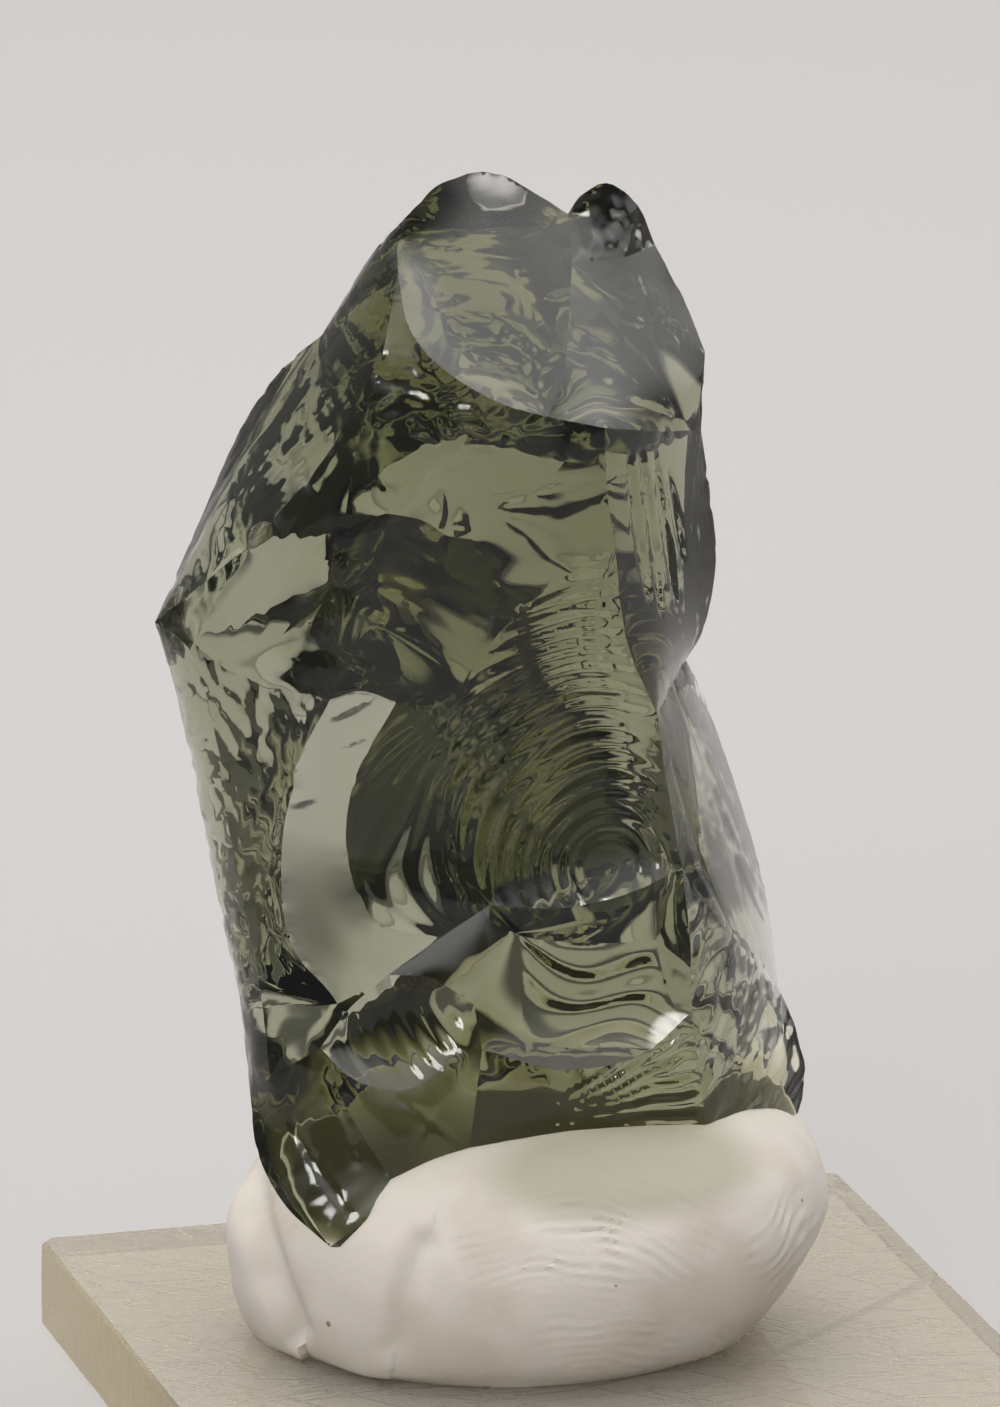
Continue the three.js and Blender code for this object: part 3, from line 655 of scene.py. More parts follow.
# Ridges, each from corner to corner through the bends between them.
RIDGES: dict[str, tuple[Stop, ...]] = {
    "crest": ("rimStart", (440, 184, 1), (492, 172, 2.6), (530, 190, 2.8), "notch"),
    "knob": ("notch", (582, 194, 2), (606, 183, 2.2), (636, 203, 3), "knobFoot"),
    "shoulderLine": ("knobFoot", (682, 295, 4), "shoulder"),
    "cheekLine": ("shoulder", (703, 395, 2.4), "cheek"),
    "belly": ("cheek", (711, 500, 1.6), (716, 560, 1.6), (703, 630, 2.2), "waist"),
    "wingEdge": ("waist", (702, 692, 5), (740, 800, 6.5), (765, 890, 6), "wingEnd"),
    "heelEdge": ("wingEnd", (798, 1035, 1), (806, 1080, 0), "heelToe"),
    "tipLeft": ("bandFoot", (257, 1150, -8), (285, 1205, -9.9), "tip"),
    "bandSide": ("leftHip", "bandFoot"),
    "leftEdge": ("corner", (175, 690, -0.3), (200, 808, -1.5), (220, 910, -3), "leftHip"),
    "longEdge": ("stripEnd", (280, 370, 4), (240, 430, 5), (200, 520, 4.2), (170, 588, 2), "corner"),
    "stripEdge": ("rimStart", (372, 254, 2), "stripEnd"),
    "rimStartLine": ("rimStart", (398, 245, -0.5), "rimLeft"),
    "rimFront": ("rimLeft", (410, 330, -4.5), (442, 368, -6), (500, 403, -7), "rimLow"),
    "rimProw": ("rimLow", "prowTop"),
    "rimRight": ("prowTop", (650, 431, -3.5), "cheek"),
    "bowlRight": ("knobRoot", (568, 330, -3.5), (562, 385, -6), "rimLow"),
    "notchLine": ("notch", "knobRoot"),
    "knobLine": ("knobRoot", (620, 258, 1.5), "knobFoot"),
    "stripLine": ("rimLeft", (362, 302, -0.5), "stripEnd"),
    "longTop": ("rimLeft", "ribTop"),
    "longFoot": ("ribTop", (330, 450, -4.5), (290, 500, -4), (240, 552, -2.5), "corner"),
    "midRib": ("ribTop", (352, 470, -5.5), (335, 600, -6), (300, 720, -6), (272, 850, -6), "ribFoot"),
    "bandLine": ("corner", (188, 648, -2), (212, 720, -3.5), (224, 800, -4.5), (238, 880, -5.5), "ribFoot"),
    "bandLower": ("ribFoot", (264, 1020, -7.6), "bandEnd"),
    "bandShut": ("bandEnd", "bandFoot"),
    "prowUpper": ("prowTop", (607, 490, -6.6), "prowMid"),
    "prowLower": ("prowMid", (627, 640, -6.2), "prowEnd"),
    "wingFront": ("prowEnd", (668, 790, -5.2), "bowlHeel"),
    "waistLine": ("waist", "prowEnd"),
    "wingFoot": ("bowlHeel", (720, 920, -4), "wingEnd"),
    "bowlLeft": (
        "prowMid", (560, 580, -6.5), (500, 632, -6.3), (455, 700, -6), (440, 775, -6), (455, 850, -6),
        "spineTop",
    ),
    "bowlFoot": ("spineTop", (560, 908, -6), (630, 893, -6), "bowlHeel"),
    "heelSide": ("bowlHeel", (690, 940, -6.5), "heelBrow"),
    "heelSideLow": ("heelBrow", (700, 1075, -7.2), "footRight"),
    "scarFoot": ("spineFoot", (560, 1070, -8), (640, 1055, -7.5), "heelBrow"),
    "spineUpper": ("spineTop", (486, 955, -7), "lensRight"),
    "spineMid": ("lensRight", "spineFoot"),
    "spineLower": ("spineFoot", "footLeft"),
    "chinUpper": ("spineTop", (440, 938, -6.8), "lensTop"),
    "chinMid": ("lensTop", (350, 1008, -8.3), "lensLeft"),
    "chinLower": ("lensLeft", "bandEnd"),
    "lensBrow": ("lensTop", (430, 978, -8), "lensRight"),
    "lensLip": ("lensLeft", (355, 1080, -9.2), (405, 1090, -9), (450, 1060, -8.5), "lensRight"),
    "tipRib": ("lensLeft", (345, 1105, -9.4), "tipRoot"),
    "tipRight": ("tip", (372, 1214, -10.9), "tipRoot"),
    "footFront": ("tipRoot", (430, 1161, -9.2), "footLeft"),
    "footMid": ("footLeft", (548, 1127, -8), (630, 1126, -7.2), "footRight"),
    "footHeel": ("footRight", (760, 1131, -3.6), "heelToe"),
    "skylightBrow": ("skylightLeft", (452, 433, 2.6), (500, 431, 2.9), "skylightRight"),
    "skylightSide": ("skylightRight", (540, 462, 3.3), (505, 474, 3), (478, 482, 2.9), "skylightFoot"),
    "skylightSill": ("skylightFoot", (452, 520, 2.4), (432, 508, 2.1), "skylightHeel"),
    "skylightJamb": ("skylightHeel", (412, 488, 2.1), (400, 474, 2.2), "skylightLeft"),
    "napeUpper": ("rimStart", "browLeft"),
    "napeLower": ("browLeft", "skylightLeft"),
    "keelHead": ("skylightRight", "keelTop"),
    "shoulderBack": ("keelTop", (670, 385, 7.5), "shoulder"),
    "brow": ("browLeft", (500, 398, 10.8), "keelTop"),
    "keelUpper": ("keelTop", (624, 570, 4.4), "keelMid"),
    "keelLower": ("keelMid", "keelFoot"),
    "waistBack": ("keelMid", "waist"),
    "hipLine": ("browLeft", (368, 430, 8.5), (310, 490, 7), (250, 560, 5.5), "bandTail"),
    "bandOver": ("bandTip", (290, 548, 1.4), "bandTail"),
    "bandUnder": ("bandTip", (345, 568, 0.8), (300, 606, 0.8), "bandTail"),
    "bandRoot": ("bandTip", "skylightHeel"),
    "cornerBack": ("corner", (190, 637, 1.8), "bandTail"),
    "tailLine": ("bandTail", (275, 678, 1), "crescentTop"),
    "noseTop": ("nose", "skylightHeel"),
    "noseLeft": ("nose", "crescentTop"),
    "noseRight": ("nose", "crescentHorn"),
    "valley": ("skylightFoot", (486, 570, 6), "valleyFoot"),
    "valleyEnd": ("valleyFoot", (440, 676, 5), "crescentHorn"),
    "backRib": ("valleyFoot", (492, 755, 13), (498, 860, 13.4), (502, 908, 11), "ledgeLeft"),
    "crescentBrow": ("crescentTop", (368, 684, -2.4), "crescentHorn"),
    "crescentIn": ("crescentHorn", (358, 770, -2.3), (350, 850, -2.3), (372, 915, -2), "crescentFoot"),
    "crescentSill": ("crescentFoot", (385, 970, -2.6), "crescentTail"),
    "crescentOut": ("crescentTail", (302, 930, -2.9), (294, 850, -2.8), (308, 760, -2.6), "crescentTop"),
    "lip": ("bandTail", (216, 740, 4.2), (240, 860, 3.4), (285, 975, 1.2), "crescentTail"),
    "ledgeBrow": ("ledgeLeft", (520, 927, 8), (578, 912, 6), "keelFoot"),
    "ledgeSide": ("keelFoot", "ledgeRight"),
    "ledgeEnd": ("ledgeLeft", "crescentFoot"),
    "ledge": ("ledgeRight", "ledgeLeft"),
    "wingRoot": ("ledgeRight", "wingEnd"),
    "paneSide": ("ledgeRight", "paneRight"),
    "paneSill": ("paneRight", "paneLeft"),
    "paneJamb": ("paneLeft", "ledgeLeft"),
    "hipBack": ("crescentTail", (290, 1008, -2.5), "leftHip"),
    "scoopSide": ("crescentTail", "scoopFoot"),
    "scoopLip": ("scoopFoot", (430, 1066, 4), "paneLeft"),
    "footBackLine": ("paneLeft", "soleMid"),
    "heelBackLine": ("paneRight", "soleRight"),
    "soleBack": ("soleRight", "soleMid"),
    "soleSide": ("soleMid", "soleLeft"),
    "soleTip": ("soleLeft", "tip"),
    "soleHeel": ("heelToe", "soleRight"),
}

# Scars, each with its hollow, its ring of ridges and its marks.
SCARS: dict[str, Scar] = {
    "bowl": Scar(0.8, "rimStartLine rimFront -bowlRight -notchLine -crest"),
    "knobFace": Scar(-0.2, "notchLine knobLine -knob", (Hackle(1, 0.2, 70, 2, 13),)),
    "topRight": Scar(-0.1, "bowlRight rimProw rimRight -cheekLine -shoulderLine -knobLine"),
    "strip": Scar(-0.15, "stripEdge -stripLine -rimStartLine"),
    "longFace": Scar(-0.2, "stripLine longEdge -longFoot -longTop", (Hackle(1.5, 0.03, 60, 6, 21),)),
    "leftFlank": Scar(-0.3, "longFoot bandLine -midRib", (Hackle(1.6, 0.06, 70, 3, 2),)),
    "mainFront": Scar(
        -0.8,
        "longTop midRib bandLower -chinLower -chinMid -chinUpper -bowlLeft -prowUpper -rimProw -rimFront",
        (
            Hackle(0.9, 0.16, 30, 3, 16, (345, 385, -4), 3.2),
            Hackle(0.55, 0.13, 0, 2.5, 31, (470, 400, -6), 3),
        ),
    ),
    "leftBand": Scar(
        -0.2,
        "leftEdge bandSide -bandShut -bandLower -bandLine",
        (Hackle(1, 0.08, 20, 2, 3),),
    ),
    "centralBowl": Scar(
        1,
        "bowlLeft bowlFoot -wingFront -prowLower",
        (Ripples((600, 835, 0), 0.95, 0.08, 0.4, 0.8),),
    ),
    "rightFace": Scar(
        -0.2,
        "prowUpper prowLower -waistLine -belly -rimRight",
        (
            Gash(((630, 455), (640, 530), (650, 600)), 0.35, 0.34),
            Gash(((642, 452), (656, 540), (662, 612)), 0.33, 0.3),
            Gash(((656, 458), (668, 540), (676, 600)), 0.3, 0.26),
            Gash(((668, 470), (684, 560)), 0.28, 0.2),
        ),
    ),
    "wing": Scar(
        -0.2,
        "waistLine wingFront wingFoot -wingEdge",
        (
            Gash(((676, 688), (718, 800), (768, 972)), 0.3, 0.08),
            Gash(((672, 760), (704, 870), (742, 950)), 0.3, 0.06),
        ),
    ),
    "frontScar": Scar(0.7, "spineUpper spineMid scarFoot -heelSide -bowlFoot"),
    "chin": Scar(-0.3, "chinUpper lensBrow -spineUpper"),
    "lens": Scar(0.6, "chinMid lensLip -lensBrow", (Ripples((480, 990, 0), 0.9, 0.07),)),
    "footPlain": Scar(
        -0.3,
        "tipRib footFront -spineLower -spineMid -lensLip",
        (
            Gash(((395, 1095), (430, 1120), (468, 1150)), 0.3, 0.12),
            Gash(((410, 1150), (440, 1110)), 0.2, 0.06),
        ),
    ),
    "footFront": Scar(
        -0.2,
        "spineLower footMid -heelSideLow -scarFoot",
        (Fan((535, 1124), 7, 0.12, 0, 40),),
    ),
    "heel": Scar(
        -0.3,
        "heelSide heelSideLow footHeel -heelEdge -wingFoot",
        (Hackle(1.3, 0.14, 35, 2.5, 5),),
    ),
    "tipFace": Scar(
        -0.2,
        "chinLower bandShut tipLeft tipRight -tipRib",
        (
            Hackle(1.2, 0.06, 50, 2, 8),
            Gash(((290, 1120), (318, 1170), (350, 1215)), 0.3, 0.12),
            Gash(((335, 1110), (356, 1165)), 0.3, 0.12),
        ),
    ),
    "nape": Scar(
        -0.7,
        "-napeUpper crest knob shoulderLine -shoulderBack -brow",
        (
            Hackle(2.6, 0.03, 0, 2, 9),
            Hackle(0.8, 0.24, 90, 4, 27, (684, 330, 5), 1.9),
            Gash(((612, 285), (612, 335)), 0.35, 0.25),
            Gash(((565, 345), (600, 338)), 0.35, 0.25),
        ),
    ),
    "browUnder": Scar(
        -0.4,
        "brow -keelHead -skylightBrow -napeLower",
        (
            Hackle(1.1, 0.14, 0, 3, 15),
            Gash(((395, 378), (440, 402), (500, 396)), 0.5, 0.35),
            Gash(((412, 444), (452, 424), (500, 420), (552, 436)), 0.8, 0.6),
            Gash(((480, 400), (560, 414), (606, 420)), 0.8, 0.6),
            Gash(((552, 440), (580, 434), (608, 432)), 0.9, 0.8),
        ),
    ),
    "skylight": Scar(
        -0.15,
        "skylightBrow skylightSide skylightSill skylightJamb",
        (
            Gash(((440, 522), (452, 480)), 0.45, 0.5),
            Gash(((462, 524), (468, 494)), 0.4, 0.45),
            Gash(((460, 514), (492, 504), (535, 490)), 0.7, 1),
            Gash(((472, 500), (500, 488), (545, 470)), 0.6, 0.85),
        ),
    ),
    "backFlank": Scar(
        0.2,
        "keelHead keelUpper keelLower -ledgeBrow -backRib -valley -skylightSide",
        (
            Ripples((595, 845, 3), 1.35, 0.2, 0.5, 3.5, 16),
            Hackle(0.8, 0.35, 90, 3, 23, (622, 600, 4), 2.4),
            Gash(((512, 484), (548, 478), (590, 474)), 0.85, 1),
            Gash(((514, 494), (540, 506), (564, 526)), 0.7, 0.85),
            Gash(((552, 520), (594, 528)), 0.45, 0.5),
            Gash(((530, 452), (560, 456), (605, 456)), 0.8, 0.9),
            Gash(((536, 468), (565, 463), (598, 468)), 0.55, 0.8),
        ),
    ),
    "innerWall": Scar(
        -0.7,
        "-valleyEnd backRib ledgeEnd -crescentIn",
        (Ripples((595, 845, 3), 1.3, 0.05),),
    ),
    "rightBack": Scar(
        0.2,
        "shoulderBack cheekLine belly -waistBack -keelUpper",
        (Hackle(1.2, 0.26, 80, 3, 10),),
    ),
    "wingBack": Scar(
        -0.3,
        "waistBack wingEdge -wingRoot -ledgeSide -keelLower",
        (Hackle(1.1, 0.16, 75, 3, 14),),
    ),
    "longOuter": Scar(
        0.2,
        "napeUpper hipLine -cornerBack -longEdge -stripEdge",
        (Hackle(1.5, 0.05, 40, 3, 17),),
    ),
    "longInner": Scar(
        0.2,
        "-hipLine napeLower -skylightJamb -bandRoot bandOver",
        (Hackle(1.3, 0.09, 30, 3, 18), Hackle(1, 0.3, 30, 3, 19, (255, 545, 4), 2.2)),
    ),
    "band": Scar(-0.1, "bandUnder -bandOver"),
    "noseLeft": Scar(
        -0.3,
        "bandRoot -noseTop noseLeft -tailLine -bandUnder",
        (Hackle(1.2, 0.22, -40, 2.5, 11),),
    ),
    "noseRight": Scar(
        -0.2,
        "noseTop -skylightSill valley valleyEnd -noseRight",
        (Hackle(1.1, 0.12, 40, 2.5, 24),),
    ),
    "noseLow": Scar(-0.2, "noseRight -crescentBrow -noseLeft"),
    "crescent": Scar(
        -0.2,
        "crescentBrow crescentIn crescentSill crescentOut",
        (
            Gash(((340, 712), (372, 690)), 0.35, 0.2),
            Gash(((346, 740), (396, 704)), 0.35, 0.2),
            Gash(((330, 790), (300, 800)), 0.25, 0.12),
        ),
    ),
    "lipOuter": Scar(-0.2, "cornerBack lip hipBack -leftEdge", (Hackle(0.9, 0.1, 60, 2.5, 1),)),
    "lipInner": Scar(-0.2, "tailLine -crescentOut -lip", (Hackle(1, 0.15, 60, 2.5, 12),)),
    "ledgeFace": Scar(-0.3, "ledgeBrow ledgeSide ledge"),
    "pane": Scar(-0.3, "-ledge paneSide paneSill paneJamb", (Ripples((620, 800, 0), 2.6, 0.3, 0.7),)),
    "scoop": Scar(-0.3, "-ledgeEnd -paneJamb -scoopLip -scoopSide -crescentSill"),
    "footBack": Scar(-0.2, "-paneSill heelBackLine soleBack -footBackLine", (Hackle(0.8, 0.14, 8, 4, 7),)),
    "heelBack": Scar(
        -0.2,
        "wingRoot heelEdge soleHeel -heelBackLine -paneSide",
        (Hackle(1.4, 0.16, -30, 2, 6),),
    ),
    "lowerBack": Scar(-0.2, "-hipBack scoopSide scoopLip footBackLine soleSide soleTip -tipLeft -bandSide"),
    "sole": Scar(-3, "-soleTip -soleSide -soleBack -soleHeel -footHeel -footMid -footFront -tipRight"),
}


# ---------------------------------------------------------------- node benches and surface effects


Feed = Union[bpy.types.NodeSocket, float, int, tuple]
Feeds = dict[Union[str, int], Feed]


@dataclass
class Bench:
    """Adds nodes to one tree, and sets or joins their sockets."""

    tree: bpy.types.NodeTree

    def add(self, kind: str, feeds: Optional[Feeds] = None, **options: object) -> bpy.types.Node:
        """Adds a node.

        Args:
            kind: the node's type.
            feeds: what goes into each input, by name or number: a socket to join, or a value.
            options: the node's own settings.

        Returns:
            The node.
        """
        node = self.tree.nodes.new(kind)
        for key, value in options.items():
            setattr(node, key, value)
        self.fill(node, feeds or {})
        return node

    def fill(self, node: bpy.types.Node, feeds: Feeds) -> None:
        """Fills a node's inputs.

        Args:
            node: the node.
            feeds: what goes into each input, by name or number: a socket to join, or a value.
        """
        for key, value in feeds.items():
            if isinstance(value, bpy.types.NodeSocket):
                self.tree.links.new(value, node.inputs[key])
            else:
                node.inputs[key].default_value = value

    def blend(self, mask: Feed, low: Feed, high: Feed) -> bpy.types.NodeSocket:
        """Mixes two colours by a mask."""
        feeds = {0: mask, 6: opaque(low), 7: opaque(high)}
        return self.add("ShaderNodeMix", feeds, data_type="RGBA").outputs[2]

    def weigh(self, mask: Feed, low: Feed, high: Feed) -> bpy.types.NodeSocket:
        """Mixes two numbers by a mask."""
        return self.add("ShaderNodeMix", {0: mask, 2: low, 3: high}, data_type="FLOAT").outputs[0]

    def ramp(
        self, value: Feed, start: Feed, end: Feed, low: Feed = 0.0, high: Feed = 1.0
    ) -> bpy.types.NodeSocket:
        """Eases from low to high while the value goes from start to end."""
        feeds = {"Value": value, "From Min": start, "From Max": end, "To Min": low, "To Max": high}
        return self.add("ShaderNodeMapRange", feeds, interpolation_type="SMOOTHSTEP").outputs[0]

    def sum(self, kind: str, *numbers: Feed) -> bpy.types.NodeSocket:
        """Works out one sum of one or two numbers."""
        return self.add("ShaderNodeMath", dict(enumerate(numbers)), operation=kind).outputs[0]

    def arrow(self, kind: str, *arrows: Feed) -> bpy.types.NodeSocket:
        """Works out one vector from two."""
        return self.add("ShaderNodeVectorMath", dict(enumerate(arrows)), operation=kind).outputs["Vector"]

    def measure(self, kind: str, *arrows: Feed) -> bpy.types.NodeSocket:
        """Works out one number from one or two vectors."""
        return self.add("ShaderNodeVectorMath", dict(enumerate(arrows)), operation=kind).outputs["Value"]


def opaque(colour: Feed) -> Feed:
    """Adds full opacity to a colour, and leaves a socket as it is."""
    return (*colour, 1.0) if isinstance(colour, tuple) else colour


class Effect(Enum):
    """The surface effects that the finishes use."""

    MOTTLE = "mottle"
    SPECKS = "specks"
    SCRATCHES = "scratches"


class EffectShelf:
    """Builds each effect once, as a node group, and places it in finishes."""

    def __init__(self) -> None:
        """Starts with every effect built."""
        self.groups = {
            Effect.MOTTLE: self.build_mottle(),
            Effect.SPECKS: self.build_specks(),
            Effect.SCRATCHES: self.build_scratches(),
        }

    @staticmethod
    def start(effect: Effect, **inputs: float) -> tuple[bpy.types.NodeTree, Bench, dict[str, Feed]]:
        """Opens a group that has a place, number inputs and one mask to put out.

        Args:
            effect: the effect that the group is for.
            inputs: its numbers by name in lower case, with their usual values.

        Returns:
            The group, a bench on it, and the sockets that give its place and numbers, by name.
        """
        group = bpy.data.node_groups.new(effect.value, "ShaderNodeTree")
        group.interface.new_socket("Place", in_out="INPUT", socket_type="NodeSocketVector")
        for name, value in inputs.items():
            socket = group.interface.new_socket(
                name.capitalize(), in_out="INPUT", socket_type="NodeSocketFloat"
            )
            socket.default_value = value
        group.interface.new_socket("Mask", in_out="OUTPUT", socket_type="NodeSocketFloat")
        bench = Bench(group)
        given = bench.add("NodeGroupInput").outputs
        return group, bench, {name: given[name.capitalize()] for name in ("place", *inputs)}

    def build_mottle(self) -> bpy.types.NodeTree:
        """Builds soft cloudy patches.

        Returns:
            The group.
        """
        group, bench, given = self.start(Effect.MOTTLE, scale=300.0, detail=4.0, start=0.4, end=0.6)
        feeds = {"Vector": given["place"], "Scale": given["scale"], "Detail": given["detail"]}
        cloud = bench.add("ShaderNodeTexNoise", feeds)
        mask = bench.ramp(cloud.outputs["Fac"], given["start"], given["end"])
        bench.add("NodeGroupOutput", {"Mask": mask})
        return group

    def build_specks(self) -> bpy.types.NodeTree:
        """Builds small scattered dots, of which only some cells hold one.

        Returns:
            The group.
        """
        group, bench, given = self.start(Effect.SPECKS, scale=900.0, size=0.2, share=0.1)
        cells = bench.add("ShaderNodeTexVoronoi", {"Vector": given["place"], "Scale": given["scale"]})
        dot = bench.sum("LESS_THAN", cells.outputs["Distance"], given["size"])
        tone = bench.add("ShaderNodeSeparateColor", {0: cells.outputs["Color"]}).outputs[0]
        chosen = bench.sum("LESS_THAN", tone, given["share"])
        bench.add("NodeGroupOutput", {"Mask": bench.sum("MULTIPLY", dot, chosen)})
        return group

    def build_scratches(self) -> bpy.types.NodeTree:
        """Builds thin broken lines that run along the place's X axis, bent a little.

        Returns:
            The group.
        """
        middle, drawn_out_by = 0.5, (0.12, 1.0, 1.0)
        group, bench, given = self.start(Effect.SCRATCHES, scale=60.0, width=0.05, bend=0.002)
        feeds = {"Vector": given["place"], "Scale": 60.0, "Detail": 1.0}
        drift = bench.add("ShaderNodeTexNoise", feeds).outputs["Color"]
        shift = bench.arrow("SUBTRACT", drift, (middle, middle, middle))
        feeds = {0: shift, "Scale": given["bend"]}
        shift = bench.add("ShaderNodeVectorMath", feeds, operation="SCALE").outputs["Vector"]
        drawn_out = bench.arrow("MULTIPLY", bench.arrow("ADD", given["place"], shift), drawn_out_by)
        feeds = {"Vector": drawn_out, "Scale": given["scale"], "Detail": 2.0}
        field = bench.add("ShaderNodeTexNoise", feeds).outputs["Fac"]
        off = bench.sum("ABSOLUTE", bench.sum("SUBTRACT", field, middle))
        bench.add("NodeGroupOutput", {"Mask": bench.ramp(off, given["width"], 0.0)})
        return group

    def place(self, bench: Bench, effect: Effect, place: Feed, **values: float) -> bpy.types.NodeSocket:
        """Places an effect in a finish.

        Args:
            bench: the finish's bench.
            effect: which effect.
            place: the coordinates that it is laid out in.
            values: its numbers, by name in lower case.

        Returns:
            The effect's mask.
        """
        node = bench.add("ShaderNodeGroup", node_tree=self.groups[effect])
        feeds = {name.capitalize(): value for name, value in values.items()}
        bench.fill(node, {"Place": place, **feeds})
        return node.outputs["Mask"]


def open_finish(name: str) -> tuple[bpy.types.Material, Bench, bpy.types.Node, bpy.types.Node]:
    """Opens a new material.

    Args:
        name: the material's name.

    Returns:
        The material, a bench on its tree, its Principled shader and its output.
    """
    material = bpy.data.materials.new(name)
    material.use_nodes = True
    nodes = material.node_tree.nodes
    return material, Bench(material.node_tree), nodes["Principled BSDF"], nodes["Material Output"]


def tint_body(
    bench: Bench, shader: bpy.types.Node, output: bpy.types.Node, tint: Colour, density: float
) -> None:
    """Tints a clear body through its depth, and lets lamplight pass straight through it.

    Args:
        bench: the finish's bench.
        shader: its Principled shader.
        output: its output.
        tint: the colour that is left of white light.
        density: how soon the tint takes hold, per metre.
    """
    absorption = bench.add("ShaderNodeVolumeAbsorption", {"Color": opaque(tint), "Density": density})
    path = bench.add("ShaderNodeLightPath")
    clear = bench.add("ShaderNodeBsdfTransparent")
    feeds = {0: path.outputs["Is Shadow Ray"], 1: shader.outputs[0], 2: clear.outputs[0]}
    surface = bench.add("ShaderNodeMixShader", feeds)
    bench.fill(output, {"Surface": surface.outputs[0], "Volume": absorption.outputs[0]})


def emboss(bench: Bench, shader: bpy.types.Node, height: Feed, strength: float, depth: float) -> None:
    """Gives a finish fine relief that is too small for the mesh.

    Args:
        bench: the finish's bench.
        shader: its Principled shader.
        height: the relief, from 0 to 1.
        strength: how strongly it shows, from 0 to 1.
        depth: its depth in millimetres.
    """
    feeds = {"Height": height, "Strength": strength, "Distance": depth * MM}
    bench.fill(shader, {"Normal": bench.add("ShaderNodeBump", feeds).outputs[0]})


@dataclass(frozen=True)
class GreenGlass:
    """Clear dark green glass, bright on its breaks."""

    ior: float = 1.5
    roughness: float = 0.0
    tint: Colour = (0.54, 0.56, 0.33)
    tint_density: float = 250.0

    def make(self) -> bpy.types.Material:
        """Makes the material.

        Returns:
            The material.
        """
        material, bench, shader, output = open_finish("green_glass")
        feeds = {
            "Base Color": (1.0, 1.0, 1.0, 1.0),
            "Transmission Weight": 1.0,
            "IOR": self.ior,
            "Roughness": self.roughness,
        }
        bench.fill(shader, feeds)
        tint_body(bench, shader, output, self.tint, self.tint_density)
        return material


@dataclass(frozen=True)
class WhitePutty:
    """Matt cream-white putty, clouded by handling, with dark specks and a painted shade over its rim in front
    of the glass's foot.
    """

    clean: Colour = (0.55, 0.51, 0.465)
    handled: Colour = (0.5, 0.455, 0.4)
    speck: Colour = (0.2, 0.16, 0.13)
    # painted shade: an olive-grey darkening in an oval in front of the glass's foot, standing for the shade
    # under the glass
    rim_shade_colour: Colour = (0.36, 0.335, 0.27)
    rim_middle: Place = (1.2, -8.5, 14.7)
    rim_size: Place = (10.0, 5.5, 3.0)
    rim_fade: Span = (0.55, 1.0)
    clean_roughness: float = 0.62
    handled_roughness: float = 0.74
    soft_weight: float = 0.35
    soft_radius: Colour = (1.0, 0.75, 0.5)
    soft_depth: float = 0.6
    grain_depth: float = 0.06

    def make(self, shelf: EffectShelf) -> bpy.types.Material:
        """Makes the material.

        Args:
            shelf: the effects.

        Returns:
            The material.
        """
        material, bench, shader, _ = open_finish("white_putty")
        place = bench.add("ShaderNodeTexCoord").outputs["Object"]
        cloud = shelf.place(bench, Effect.MOTTLE, place, scale=230.0, detail=3.0, start=0.42, end=0.68)
        dots = shelf.place(bench, Effect.SPECKS, place, scale=900.0, size=0.14, share=0.02)
        body = bench.blend(cloud, self.clean, self.handled)
        # painted shade on the rim in front of the glass's foot
        body = bench.blend(self.find_shaded_rim(bench, place), body, self.rim_shade_colour)
        feeds = {
            "Base Color": bench.blend(dots, body, self.speck),
            "Roughness": bench.ramp(cloud, 0.0, 1.0, self.clean_roughness, self.handled_roughness),
            "Subsurface Weight": self.soft_weight,
            "Subsurface Radius": self.soft_radius,
            "Subsurface Scale": self.soft_depth * MM,
        }
        bench.fill(shader, feeds)
        grain = bench.add("ShaderNodeTexNoise", {"Vector": place, "Scale": 2600.0, "Detail": 4.0})
        emboss(bench, shader, grain.outputs["Fac"], strength=0.35, depth=self.grain_depth)
        return material

    def find_shaded_rim(self, bench: Bench, place: Feed) -> bpy.types.NodeSocket:
        """Finds the rim in front of the glass's foot, which gets a painted shade.

        Args:
            bench: the finish's bench.
            place: the place on the piece, in metres.

        Returns:
            The painted shade's mask.
        """
        middle = tuple(value * MM for value in self.rim_middle)
        stretch = tuple(1 / (value * MM) for value in self.rim_size)
        arm = bench.arrow("MULTIPLY", bench.arrow("SUBTRACT", place, middle), stretch)
        return bench.ramp(bench.measure("LENGTH", arm), *self.rim_fade, 1.0, 0.0)


